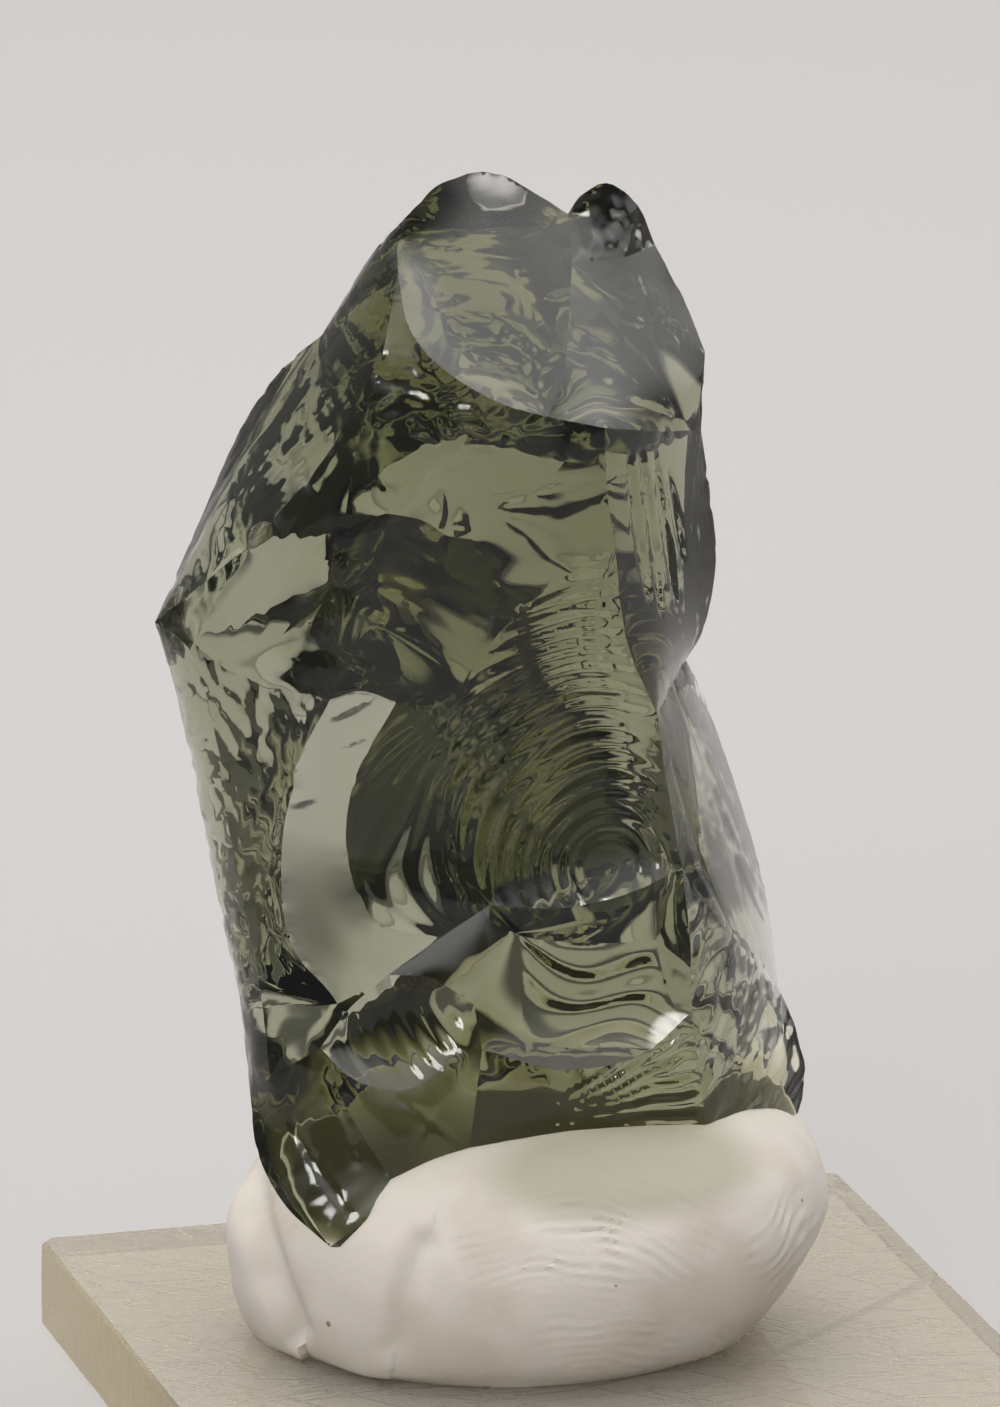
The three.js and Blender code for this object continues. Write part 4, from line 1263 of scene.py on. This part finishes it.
@dataclass(frozen=True)
class YellowedAcrylic:
    """Clear acrylic gone yellow: polished and scratched on its faces, frosted where it was sawn."""

    ior: float = 1.49
    face_roughness: float = 0.03
    hazy_roughness: float = 0.08
    scratch_roughness: float = 0.5
    sawn_roughness: float = 0.42
    face: Colour = (0.58, 0.55, 0.5)
    edge: Colour = (0.68, 0.6, 0.44)
    clearness: float = 0.85
    tint: Colour = (0.93, 0.8, 0.32)
    tint_density: float = 28.0
    level_fade: Span = (0.6, 0.9)
    cross_turn: float = 0.9
    haze_height: float = 0.35
    scratch_depth: float = 0.04

    def make(self, shelf: EffectShelf) -> bpy.types.Material:
        """Makes the material.

        Args:
            shelf: the effects.

        Returns:
            The material.
        """
        material, bench, shader, output = open_finish("yellowed_acrylic")
        spots = bench.add("ShaderNodeTexCoord").outputs
        place = spots["Object"]
        upright = bench.add("ShaderNodeSeparateXYZ", {0: spots["Normal"]}).outputs["Z"]
        polished = bench.ramp(bench.sum("ABSOLUTE", upright), *self.level_fade)
        feeds = {"Vector": place, "Rotation": (0.0, 0.0, self.cross_turn)}
        turned = bench.add("ShaderNodeMapping", feeds).outputs[0]
        lines = shelf.place(bench, Effect.SCRATCHES, place, scale=420.0, width=0.012, bend=0.004)
        cross_lines = shelf.place(bench, Effect.SCRATCHES, turned, scale=300.0, width=0.01, bend=0.006)
        lines = bench.sum("MAXIMUM", lines, cross_lines)
        haze = shelf.place(bench, Effect.MOTTLE, place, scale=420.0, detail=6.0, start=0.35, end=0.7)
        face = bench.weigh(haze, self.face_roughness, self.hazy_roughness)
        face = bench.weigh(lines, face, self.scratch_roughness)
        feeds = {
            "Roughness": bench.weigh(polished, self.sawn_roughness, face),
            "Base Color": bench.blend(polished, self.edge, self.face),
            "Transmission Weight": self.clearness,
            "IOR": self.ior,
        }
        bench.fill(shader, feeds)
        height = bench.sum("ADD", bench.sum("MULTIPLY", haze, self.haze_height), lines)
        emboss(bench, shader, height, strength=0.3, depth=self.scratch_depth)
        tint_body(bench, shader, output, self.tint, self.tint_density)
        return material


# ---------------------------------------------------------------- the glass


@dataclass
class GlassLump:
    """The lump of natural glass: scars that meet in sharp, slightly nicked ridges.

    step is the spacing of its points, and marked_share how much closer they lie on a scar with marks. growth
    moves its whole surface out. A plain lump has no marks and no nicks. Nicks are cut towards the lump's
    heart, but mostly sideways: heart_rise is the share of the way up or down that counts.
    """

    step: float = 0.36
    marked_share: float = 0.62
    ring_clearance: float = 0.6
    plain: bool = False
    growth: float = 0.0
    fade_width: float = 0.5
    heart: Place = (-0.5, 3.0, 30.0)
    heart_rise: float = 0.2
    nick_depth: float = 0.05
    nick_length: float = 0.8
    bite_from: float = 0.05
    bite_power: float = 1.5
    bite_share: float = 6.0
    shake_share: float = 0.3
    nick_fade: int = 2

    def __post_init__(self) -> None:
        """Lays the ridges and covers every scar."""
        self.points: list[np.ndarray] = []
        self.faces: list[list[int]] = []
        self.ridges: dict[str, list[int]] = {}
        self.lay_ridges()
        for scar in SCARS.values():
            self.cover(scar)

    def lay_ridges(self) -> None:
        """Puts points along every ridge, in one shared list so that neighbours meet exactly."""
        first_of = {}
        for name, corner in CORNERS.items():
            first_of[name] = len(self.points)
            self.points.append(SIGHT.place(corner))
        for name, stops in RIDGES.items():
            corners = [CORNERS[stop] if isinstance(stop, str) else stop for stop in stops]
            inner = spaced_curve(np.array([SIGHT.place(corner) for corner in corners]), self.step)[1:-1]
            if not self.plain and len(inner):
                inner = self.nick(inner)
            start = len(self.points)
            self.points.extend(inner)
            self.ridges[name] = [first_of[stops[0]], *range(start, start + len(inner)), first_of[stops[-1]]]

    def nick(self, run: np.ndarray) -> np.ndarray:
        """Wears small nicks into a ridge.

        Args:
            run: the ridge's points between its corners.

        Returns:
            The worn points.
        """
        inward = np.array(self.heart) - run
        inward[:, 2] *= self.heart_rise
        inward /= np.linalg.norm(inward, axis=1)[:, None]
        bites = np.clip(waver(run, self.nick_length, seed=4.0) - self.bite_from, 0, 1) ** self.bite_power
        shake = waver(run, 0.5 * self.nick_length, seed=9.0) * self.shake_share
        ends = np.minimum(np.arange(len(run)), np.arange(len(run))[::-1])
        fade = np.clip(ends / self.nick_fade, 0, 1)
        return run + inward * (self.nick_depth * (self.bite_share * bites + shake) * fade)[:, None]

    def ring_of(self, scar: Scar) -> list[int]:
        """Follows the ring of ridges round a scar.

        Args:
            scar: the scar.

        Returns:
            The ring's point numbers.
        """
        ring: list[int] = []
        for name in scar.loop.split():
            run = self.ridges[name.lstrip("-")]
            ring.extend((run[::-1] if name.startswith("-") else run)[:-1])
        return ring

    def cover(self, scar: Scar) -> None:
        """Covers a scar with its own dipped and marked skin, joined to its ring.

        Args:
            scar: the scar.
        """
        ring = self.ring_of(scar)
        ring_points = np.array([self.points[index] for index in ring])
        plane = ScarPlane.through(ring_points)
        outline, heights = plane.flatten(ring_points)
        marked = bool(scar.marks) and not self.plain
        step = self.step * (self.marked_share if marked else 1.0)
        inner = honeycomb(outline, step, self.ring_clearance * step)
        if len(inner):
            skin, insets = stretch_skin(outline, heights, inner)
            skin = skin - scar.hollow * np.sin(math.pi / 2 * insets / insets.max())
            if marked:
                fade = np.clip(insets / self.fade_width, 0, 1)
                fade = fade * fade * (3 - 2 * fade)
                ground = Ground(plane, inner, SIGHT.on_sheet(plane.lift(inner, skin)))
                skin = skin + fade * sum(mark.relief(ground) for mark in scar.marks)
            places = np.vstack([outline, inner])
            lifted = plane.lift(inner, skin)
        else:
            places, lifted = outline, np.zeros((0, 3))
        numbers = [*ring, *range(len(self.points), len(self.points) + len(lifted))]
        self.points.extend(lifted)
        self.join(numbers, places, len(outline))

    def join(self, numbers: list[int], places: np.ndarray, ring_count: int) -> None:
        """Joins a scar's points with triangles.

        Args:
            numbers: the points' numbers in the lump, the ring's first.
            places: the points' flat places.
            ring_count: how many of them are on the ring.
        """
        inside_only, tolerance = 1, 1e-7
        flat = [Vector(place) for place in places]
        net = delaunay_2d_cdt(flat, [], [list(range(ring_count))], inside_only, tolerance)
        corner_faces, origins = net[2], net[3]
        owners = [numbers[origin[0]] for origin in origins]
        self.faces.extend([owners[corner] for corner in face] for face in corner_faces)

    def to_mesh(self, name: str) -> bpy.types.Mesh:
        """Makes the lump's mesh, with its ridges sharp and its faces pointing out.

        Args:
            name: the mesh's name.

        Returns:
            The mesh.
        """
        mesh = to_mesh(name, SIGHT.to_frame(np.array(self.points)), self.faces)
        sharp = {tuple(sorted(pair)) for run in self.ridges.values() for pair in zip(run, run[1:])}
        work = bmesh.new()
        work.from_mesh(mesh)
        if work.calc_volume(signed=True) < 0:
            bmesh.ops.reverse_faces(work, faces=work.faces)
        for face in work.faces:
            face.smooth = True
        for edge in work.edges:
            edge.smooth = tuple(sorted(vert.index for vert in edge.verts)) not in sharp
        if self.growth:
            work.normal_update()
            for vert in work.verts:
                vert.co += vert.normal * self.growth * MM
        work.to_mesh(mesh)
        work.free()
        return mesh

    def build(self, finish: bpy.types.Material) -> bpy.types.Object:
        """Builds the lump as the piece that stands for the crystal.

        Args:
            finish: its material.

        Returns:
            The piece.
        """
        mesh = self.to_mesh("glass_lump")
        mesh.materials.append(finish)
        piece = to_piece(mesh, "crystal")
        LOG.info("glass_lump: %d triangles", len(mesh.polygons))
        return piece


# ---------------------------------------------------------------- the putty


@dataclass(frozen=True)
class Level:
    """The putty's outline at one height: an ellipse's middle and half widths."""

    z: float
    x: float
    y: float
    half_width: float
    half_depth: float


@dataclass(frozen=True)
class Lobe:
    """A swelling of the putty's side at one angle, in degrees, with its width in degrees."""

    angle: float
    height: float
    width: float

    def relief(self, degrees: np.ndarray) -> np.ndarray:
        """Gives the swelling's height at each angle."""
        off = (degrees - self.angle + 540) % 360 - 180
        return self.height * np.exp(-((off / self.width) ** 2))


@dataclass(frozen=True)
class Crease:
    """A crease pressed into the putty's front, drawn on the elevation sheet.

    lip is how far the putty stands out along the crease's left side.
    """

    path: tuple[Spot, ...]
    depth: float
    width: float
    lip: float
    lip_width: float

    def relief(self, sheet: np.ndarray) -> np.ndarray:
        """Works out the crease's relief.

        Args:
            sheet: spots on the elevation sheet.

        Returns:
            The height in millimetres at each spot.
        """
        gap, _, side = nearest_on_line(sheet, np.array(self.path))
        groove = -self.depth * np.exp(-((gap / self.width) ** 2))
        swell = self.lip * np.exp(-((gap / self.lip_width) ** 2)) * (1 - np.exp(-((gap / self.width) ** 2)))
        return groove + swell * (side < 0)


@dataclass(frozen=True)
class Whorl:
    """Fine curved ridges that a fingertip left, drawn on the elevation sheet.

    They curve round middle and show in a patch, broken here and there: kept and patchiness say how much.
    """

    middle: Spot
    patch: Spot
    patch_size: Spot
    period: float
    height: float
    wander: float = 1.1
    kept: float = 0.5
    patchiness: float = 1.4

    def relief(self, sheet: np.ndarray, points: np.ndarray) -> np.ndarray:
        """Works out the ridges' relief.

        Args:
            sheet: spots on the elevation sheet.
            points: the same places in space, in millimetres.

        Returns:
            The height in millimetres at each place.
        """
        reach = np.linalg.norm(sheet - np.array(self.middle), axis=1)
        drift = waver(points, size=2.6, seed=21.0)
        broken = np.clip(self.kept + self.patchiness * waver(points, size=1.1, seed=17.0), 0, 1)
        off = (sheet - np.array(self.patch)) / np.array(self.patch_size)
        shown = np.exp(-((off**2).sum(1) ** 2)) * broken
        return self.height * np.sin(2 * math.pi * (reach / self.period + self.wander * drift)) * shown


@dataclass
class PuttyBall:
    """The ball of putty, pressed flat on the slab, with the glass pushed into its top."""

    levels: tuple[Level, ...] = (
        Level(4.3, -2.3, 1.4, 11.0, 10.4),
        Level(5.1, -2.15, 1.3, 11.8, 11.0),
        Level(6.5, -1.8, 1.2, 12.7, 11.5),
        Level(8.2, -1.3, 1.1, 13.4, 11.7),
        Level(10.0, -0.95, 1.1, 13.75, 11.6),
        Level(11.6, -0.85, 1.1, 13.4, 11.0),
        Level(12.9, -0.8, 1.1, 12.75, 10.1),
        Level(13.9, -0.8, 1.1, 11.8, 9.1),
        Level(14.6, -0.8, 1.1, 10.8, 8.15),
        Level(15.05, -0.8, 1.1, 9.6, 7.1),
        Level(15.3, -0.8, 1.1, 8.2, 5.9),
        Level(15.45, -0.8, 1.1, 6.5, 4.5),
    )
    top_z: float = 15.5
    tilt: float = 0.05
    lobes: tuple[Lobe, ...] = (Lobe(190, 0.35, 12), Lobe(228, 0.4, 14), Lobe(330, 0.3, 25))
    lobe_fade: float = 2.5
    columns: int = 560
    rows: int = 104
    cap_rows: int = 24
    creases: tuple[Crease, ...] = (
        Crease(((258, 1140), (262, 1215), (278, 1275), (300, 1330)), 0.6, 11, 0.7, 34),
        Crease(((424, 1245), (412, 1275), (404, 1300), (398, 1340)), 0.3, 14, 0.2, 40),
        Crease(((690, 1180), (655, 1165), (590, 1158)), 0.12, 12, 0.0, 20),
    )
    whorls: tuple[Whorl, ...] = (
        Whorl((560, 1490), (585, 1240), (130, 55), 10.5, 0.075),
        Whorl((600, 1620), (650, 1330), (120, 38), 9.0, 0.045),
        Whorl((640, 1130), (785, 1250), (38, 48), 9.5, 0.085),
        Whorl((250, 1420), (470, 1215), (70, 30), 8.0, 0.06),
    )
    front_from: float = 2.0
    front_fade: float = 3.0
    lump_height: float = 0.16
    lump_size: float = 4.5
    small_lump_height: float = 0.3
    small_lump_size: float = 0.35
    foot_fade: float = 0.5
    socket_step: float = 0.7
    socket_growth: float = -0.08
    sharp_above: float = 50.0

    def level_values(self, count: int) -> np.ndarray:
        """Runs a smooth profile through the levels.

        Args:
            count: how many rows to give.

        Returns:
            Rows of z, x, y, half width and half depth.
        """
        knots = np.array([[lev.z, lev.x, lev.y, lev.half_width, lev.half_depth] for lev in self.levels])
        run = np.r_[0, np.cumsum(np.linalg.norm(np.diff(knots[:, [0, 3]], axis=0), axis=1))]
        stops = np.linspace(0, run[-1], count)
        slopes = np.gradient(knots, run, axis=0)
        place = np.clip(np.searchsorted(run, stops, side="right") - 1, 0, len(run) - 2)
        width = (run[place + 1] - run[place])[:, None]
        t = (stops - run[place])[:, None] / width
        ease = [2 * t**3 - 3 * t**2 + 1, t**3 - 2 * t**2 + t, 3 * t**2 - 2 * t**3, t**3 - t**2]
        return (
            ease[0] * knots[place]
            + ease[1] * width * slopes[place]
            + ease[2] * knots[place + 1]
            + ease[3] * width * slopes[place + 1]
        )

    def shape(self) -> tuple[np.ndarray, list[list[int]]]:
        """Shapes the ball before the glass goes in.

        Returns:
            Its points in millimetres and its faces.
        """
        angles = np.linspace(0, 2 * math.pi, self.columns, endpoint=False)
        cos, sin, one = np.cos(angles), np.sin(angles), np.ones(self.columns)
        rows = [
            np.column_stack([x + half_width * cos, y + half_depth * sin, z * one])
            for z, x, y, half_width, half_depth in self.level_values(self.rows)
        ]
        foot, last = self.levels[0], self.levels[-1]
        for share in np.linspace(1, 0, self.cap_rows + 1)[1:-1]:
            height = last.z + (self.top_z - last.z) * (1 - share**2)
            across = last.x + share * last.half_width * cos
            away = last.y + share * last.half_depth * sin
            rows.append(np.column_stack([across, away, height * one]))
        points = np.vstack(rows)
        points[:, 2] += self.tilt * points[:, 0] * (points[:, 2] - foot.z) / (self.top_z - foot.z)
        return self.press(points, len(rows)), stack_faces(self.columns, len(rows))

    def press(self, points: np.ndarray, row_count: int) -> np.ndarray:
        """Presses lumps, creases and finger ridges into the ball's skin.

        Args:
            points: the smooth ball's points, row by row.
            row_count: how many rows there are.

        Returns:
            The pressed points.
        """
        grid = points.reshape(row_count, self.columns, 3)
        along = np.roll(grid, -1, 1) - np.roll(grid, 1, 1)
        upward = np.gradient(grid, axis=0)
        out = np.cross(along, upward).reshape(-1, 3)
        out /= np.linalg.norm(out, axis=1)[:, None] + 1e-12
        sheet = SIGHT.on_sheet(points)
        front = np.clip((self.front_from - points[:, 1]) / self.front_fade, 0, 1)
        foot, last = self.levels[0], self.levels[-1]
        degrees = np.degrees(np.arctan2(points[:, 1] - last.y, points[:, 0] - last.x))
        side = np.clip((self.levels[-3].z - points[:, 2]) / self.lobe_fade, 0, 1)
        relief = side * sum(lobe.relief(degrees) for lobe in self.lobes)
        relief += self.lump_height * waver(points, self.lump_size, seed=1.0)
        small = waver(points, self.small_lump_size * self.lump_size, seed=5.0)
        relief += self.small_lump_height * self.lump_height * small
        relief += front * sum(crease.relief(sheet) for crease in self.creases)
        relief += front * sum(whorl.relief(sheet, points) for whorl in self.whorls)
        fade = np.clip((points[:, 2] - foot.z) / self.foot_fade, 0, 1)
        pressed = points + out * (relief * fade)[:, None]
        pressed[:, 2] = np.maximum(pressed[:, 2], foot.z)
        return pressed

    def cut_socket(self, piece: bpy.types.Object) -> None:
        """Cuts the glass's socket into the ball.

        Args:
            piece: the ball, whose mesh is replaced by the cut one.
        """
        lump = GlassLump(step=self.socket_step, plain=True, growth=self.socket_growth)
        plug = to_scene("socket_plug", lump.to_mesh("socket_plug"))
        cut = piece.modifiers.new("socket", "BOOLEAN")
        cut.object = plug
        cut.operation = "DIFFERENCE"
        cut.solver = "EXACT"
        graph = bpy.context.evaluated_depsgraph_get()
        whole, plug_mesh = piece.data, plug.data
        piece.data = bpy.data.meshes.new_from_object(piece.evaluated_get(graph))
        piece.modifiers.remove(cut)
        bpy.data.meshes.remove(whole)
        bpy.data.objects.remove(plug)
        bpy.data.meshes.remove(plug_mesh)

    def build(self, finish: bpy.types.Material) -> bpy.types.Object:
        """Builds the ball as the piece that stands for the putty, with the glass's socket pressed in.

        Args:
            finish: its material.

        Returns:
            The piece.
        """
        points, faces = self.shape()
        piece = to_piece(to_mesh("putty_ball", SIGHT.to_frame(points), faces), "putty")
        self.cut_socket(piece)
        soften(piece.data, self.sharp_above)
        piece.data.materials.clear()
        piece.data.materials.append(finish)
        LOG.info("putty_ball: %d faces", len(piece.data.polygons))
        return piece


# ---------------------------------------------------------------- the slab


@dataclass(frozen=True)
class Chip:
    """A small shell bitten out of the slab round one place, in millimetres."""

    x: float
    y: float
    z: float
    size: float


@dataclass
class AcrylicSlab:
    """The square slab, sawn from sheet, with worn corners. It lies square to the frame.

    saw_pitch is the spacing of the saw's marks. They are drawn out upwards by saw_rise, and swerve_share and
    swerve_pitch give the slower swerves of the cut, next to the marks' own height and pitch.
    """

    corner_radius: float = 0.4
    corner_steps: int = 8
    edge_break: float = 0.14
    edge_step: float = 0.12
    saw_depth: float = 0.035
    saw_pitch: float = 0.35
    saw_rise: float = 0.25
    swerve_share: float = 1.2
    swerve_pitch: float = 7.0
    rows: int = 12
    chips: tuple[Chip, ...] = (
        Chip(-20.0, -20.0, 0.2, 1.3),
        Chip(20.0, -20.0, 4.2, 0.8),
        Chip(-20.1, 20.0, 4.4, 0.7),
        Chip(19.9, 3.0, 4.4, 0.5),
        Chip(-3.0, -20.2, 4.4, 0.55),
    )
    chip_depth: float = 0.8
    chip_roughness: float = 0.25
    sharp_above: float = 35.0

    def outline(self, half: float) -> np.ndarray:
        """Draws the slab's rounded square outline, anticlockwise, with evenly spaced points.

        Args:
            half: half the slab's side.

        Returns:
            The outline's points.
        """
        radius, straight = self.corner_radius, half - self.corner_radius
        side_count = round(2 * straight / self.edge_step)
        side = [(half, value) for value in np.linspace(-straight, straight, side_count, endpoint=False)]
        arcs = np.linspace(0, math.pi / 2, self.corner_steps, endpoint=False)
        arc = [(straight + radius * math.cos(a), straight + radius * math.sin(a)) for a in arcs]
        points = []
        for quarter in range(4):
            turn = quarter * math.pi / 2
            rotation = np.array([[math.cos(turn), -math.sin(turn)], [math.sin(turn), math.cos(turn)]])
            points.extend(rotation @ np.array(point) for point in (*side, *arc))
        return np.array(points)

    def shape(self) -> tuple[np.ndarray, list[list[int]]]:
        """Shapes the slab to the size of its node.

        Returns:
            Its points in millimetres, in the frame, and its faces.
        """
        low, high = (np.array(corner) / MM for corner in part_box("slab"))
        half = (high[0] - low[0]) / 2
        thickness = high[2] - low[2]
        outline = self.outline(half)
        inner_rows = np.linspace(self.edge_break, thickness - self.edge_break, self.rows)
        heights = low[2] + np.r_[0, inner_rows, thickness]
        rows = []
        for row, height in enumerate(heights):
            broken = self.edge_break if row in (0, len(heights) - 1) else 0.0
            rows.append(np.column_stack([outline * (1 - broken / half), np.full(len(outline), height)]))
        points = self.chip(self.saw(np.vstack(rows), outline, len(rows)))
        return points, stack_faces(len(outline), len(rows))

    def saw(self, points: np.ndarray, outline: np.ndarray, row_count: int) -> np.ndarray:
        """Wears the saw's wavering marks into the edge, inwards only.

        Args:
            points: the slab's points, row by row.
            outline: its outline.
            row_count: how many rows there are.

        Returns:
            The worn points.
        """
        drawn_out = points * np.array([1.0, 1.0, self.saw_rise])
        teeth = waver(drawn_out, self.saw_pitch, seed=3.0)
        swerve = waver(drawn_out, self.swerve_pitch * self.saw_pitch, seed=8.0)
        inward = -np.tile(outline / np.abs(outline).max(1)[:, None], (row_count, 1))
        depth = self.saw_depth * np.clip(1 + (teeth + self.swerve_share * swerve), 0, 3)
        worn = points.copy()
        worn[:, :2] += inward * depth[:, None]
        return worn

    def chip(self, points: np.ndarray) -> np.ndarray:
        """Bites small shells out of the slab's corners and edges.

        Args:
            points: the slab's points.

        Returns:
            The bitten points.
        """
        bitten = points.copy()
        for chip in self.chips:
            reach = np.linalg.norm(bitten - np.array([chip.x, chip.y, chip.z]), axis=1)
            rough = chip.size * (1 + self.chip_roughness * waver(bitten, size=0.4, seed=13.0))
            near = reach < rough
            toward = -np.array([chip.x, chip.y, 0.0]) / np.linalg.norm([chip.x, chip.y])
            shift = np.clip(rough - reach, 0, None)[:, None] * toward
            bitten = np.where(near[:, None], bitten + self.chip_depth * shift, bitten)
        return bitten

    def build(self, finish: bpy.types.Material) -> bpy.types.Object:
        """Builds the slab as the piece that stands for its node.

        Args:
            finish: its material.

        Returns:
            The piece.
        """
        points, faces = self.shape()
        mesh = to_mesh("acrylic_slab", points * MM, faces)
        mesh.materials.append(finish)
        soften(mesh, self.sharp_above)
        piece = to_piece(mesh, "slab")
        LOG.info("acrylic_slab: %d faces", len(mesh.polygons))
        return piece


# ---------------------------------------------------------------- the studio


@dataclass(frozen=True)
class Lamp:
    """A broad lamp that looks at the piece but isn't seen in the glass. Its power is in watts."""

    name: str
    place: Place
    size: float
    power: float
    aim: Place = (0.0, 0.0, 0.03)

    def hang(self) -> bpy.types.Object:
        """Hangs the lamp.

        Returns:
            The lamp.
        """
        data = bpy.data.lights.new(self.name, "AREA")
        data.size = self.size
        data.energy = self.power
        lamp = to_scene(self.name, data)
        lamp.location = self.place
        way = Vector(self.aim) - Vector(self.place)
        lamp.rotation_euler = way.to_track_quat("-Z", "Y").to_euler()
        lamp.visible_transmission = False
        lamp.visible_glossy = False
        return lamp


@dataclass
class Studio:
    """A plain pale floor, a pale room, a lamp overhead and a smaller one in front.

    A fade is where a change begins and ends, and levels are the brightnesses that it runs between. Ways are
    directions in the frame, from the piece out to a bright patch of the room. Lengths are in metres.
    """

    floor_half: float = 2.0
    floor_gap: float = 0.00004
    floor_colour: Colour = (0.455, 0.44, 0.436)
    floor_roughness: float = 0.9
    floor_gloss: float = 0.2
    shade_colour: Colour = (0.05, 0.05, 0.05)
    ring_fade: Span = (0.037, 0.045)
    far_fade: Span = (0.05, 0.09)
    far_turn: Span = (0.6, 0.85)
    ring_shades: Span = (0.93, 0.2)
    room_colour: Colour = (1.0, 0.98, 0.965)
    lamps: tuple[Lamp, ...] = (
        Lamp("overhead", (0.0, 0.16, 0.58), 0.5, 3.6),
        Lamp("fill", (-0.35, -0.55, 0.3), 0.35, 1.8),
    )
    dome_fade: Span = (0.2, 0.95)
    dome_levels: Span = (0.25, 2.8)
    behind_fade: Span = (0.62, 0.96)
    behind_levels: Span = (0.04, 0.64)
    side_way: Place = (0.87, -0.11, 0.48)
    side_fade: Span = (0.76, 0.95)
    side_level: float = 1.7
    window_way: Place = (-0.62, -0.55, 0.56)
    window_fade: Span = (0.975, 0.995)
    window_level: float = 14.0
    matt_level: float = 0.3
    backdrop_level: float = 0.64

    def lay_floor(self) -> bpy.types.Object:
        """Lays the floor under the slab.

        Returns:
            The floor.
        """
        half = self.floor_half
        corners = [(-half, -half), (half, -half), (half, half), (-half, half)]
        mesh = to_mesh("floor", np.array([(x, y, -self.floor_gap) for x, y in corners]), [(0, 1, 2, 3)])
        mesh.materials.append(self.make_floor_finish())
        floor = to_scene("floor", mesh)
        return floor

    def make_floor_finish(self) -> bpy.types.Material:
        """Makes the floor's finish, with a painted shade that darkens it only where the glass shows it, in a
        ring round the slab.

        The ring is weaker on the far side, which the reach from the middle and the bearing tell.

        Returns:
            The material.
        """
        material, bench, shader, _ = open_finish("studio_floor")
        place = bench.add("ShaderNodeTexCoord").outputs["Object"]
        reach = bench.measure("LENGTH", place)
        way = tuple(SIGHT.to_frame(np.array([[0.0, 1.0, 0.0]]))[0] / MM)
        bearing = bench.sum("DIVIDE", bench.measure("DOT_PRODUCT", place, way), reach)
        beyond, behind = bench.ramp(reach, *self.far_fade), bench.ramp(bearing, *self.far_turn)
        far = bench.sum("MULTIPLY", beyond, behind)
        shade = bench.ramp(far, 0.0, 1.0, *self.ring_shades)
        ring = bench.sum("MULTIPLY", bench.ramp(reach, *self.ring_fade), shade)
        # painted shade: the ring darkens the floor only for rays that come through the glass
        path = bench.add("ShaderNodeLightPath").outputs["Is Transmission Ray"]
        shade_through_glass = bench.sum("MULTIPLY", ring, path)
        feeds = {
            "Base Color": bench.blend(shade_through_glass, self.floor_colour, self.shade_colour),
            "Roughness": self.floor_roughness,
            "Specular IOR Level": self.floor_gloss,
        }
        bench.fill(shader, feeds)
        return material

    def light_room(self) -> None:
        """Lights the room: pale all round, brighter overhead, and pale behind what the glass shows."""
        world = bpy.data.worlds.new("room")
        bpy.context.scene.world = world
        world.use_nodes = True
        bench = Bench(world.node_tree)
        way = bench.add("ShaderNodeTexCoord").outputs["Generated"]
        split = bench.add("ShaderNodeSeparateXYZ", {0: way}).outputs
        path = bench.add("ShaderNodeLightPath").outputs
        behind = bench.ramp(split["Y"], *self.behind_fade, *self.behind_levels)
        dome = bench.ramp(split["Z"], *self.dome_fade, *self.dome_levels)
        facing_window = bench.measure("DOT_PRODUCT", way, self.window_way)
        window = bench.ramp(facing_window, *self.window_fade, 0.0, self.window_level)
        facing_side = bench.measure("DOT_PRODUCT", way, self.side_way)
        gleam = bench.sum("ADD", window, bench.ramp(facing_side, *self.side_fade, 0.0, self.side_level))
        dome = bench.sum("ADD", dome, bench.sum("MULTIPLY", gleam, path["Is Glossy Ray"]))
        level = bench.weigh(path["Is Transmission Ray"], dome, behind)
        level = bench.weigh(path["Is Diffuse Ray"], level, self.matt_level)
        level = bench.weigh(path["Is Camera Ray"], level, self.backdrop_level)
        background = world.node_tree.nodes["Background"]
        bench.fill(background, {"Color": opaque(self.room_colour), "Strength": level})

    def build(self) -> None:
        """Sets up the floor, the room, the lamps and plain colours."""
        self.lay_floor()
        self.light_room()
        for lamp in self.lamps:
            lamp.hang()
        bpy.context.scene.view_settings.view_transform = "Standard"
        LOG.info("studio: floor, room and %d lamps", len(self.lamps))


# ---------------------------------------------------------------- all together


def main() -> None:
    """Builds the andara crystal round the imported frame."""
    logging.basicConfig(level=logging.INFO, format="%(name)s: %(message)s")
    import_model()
    SIGHT.add_camera()
    shelf = EffectShelf()
    GlassLump().build(GreenGlass().make())
    PuttyBall().build(WhitePutty().make(shelf))
    AcrylicSlab().build(YellowedAcrylic().make(shelf))
    Studio().build()


if __name__ == "__main__":
    main()
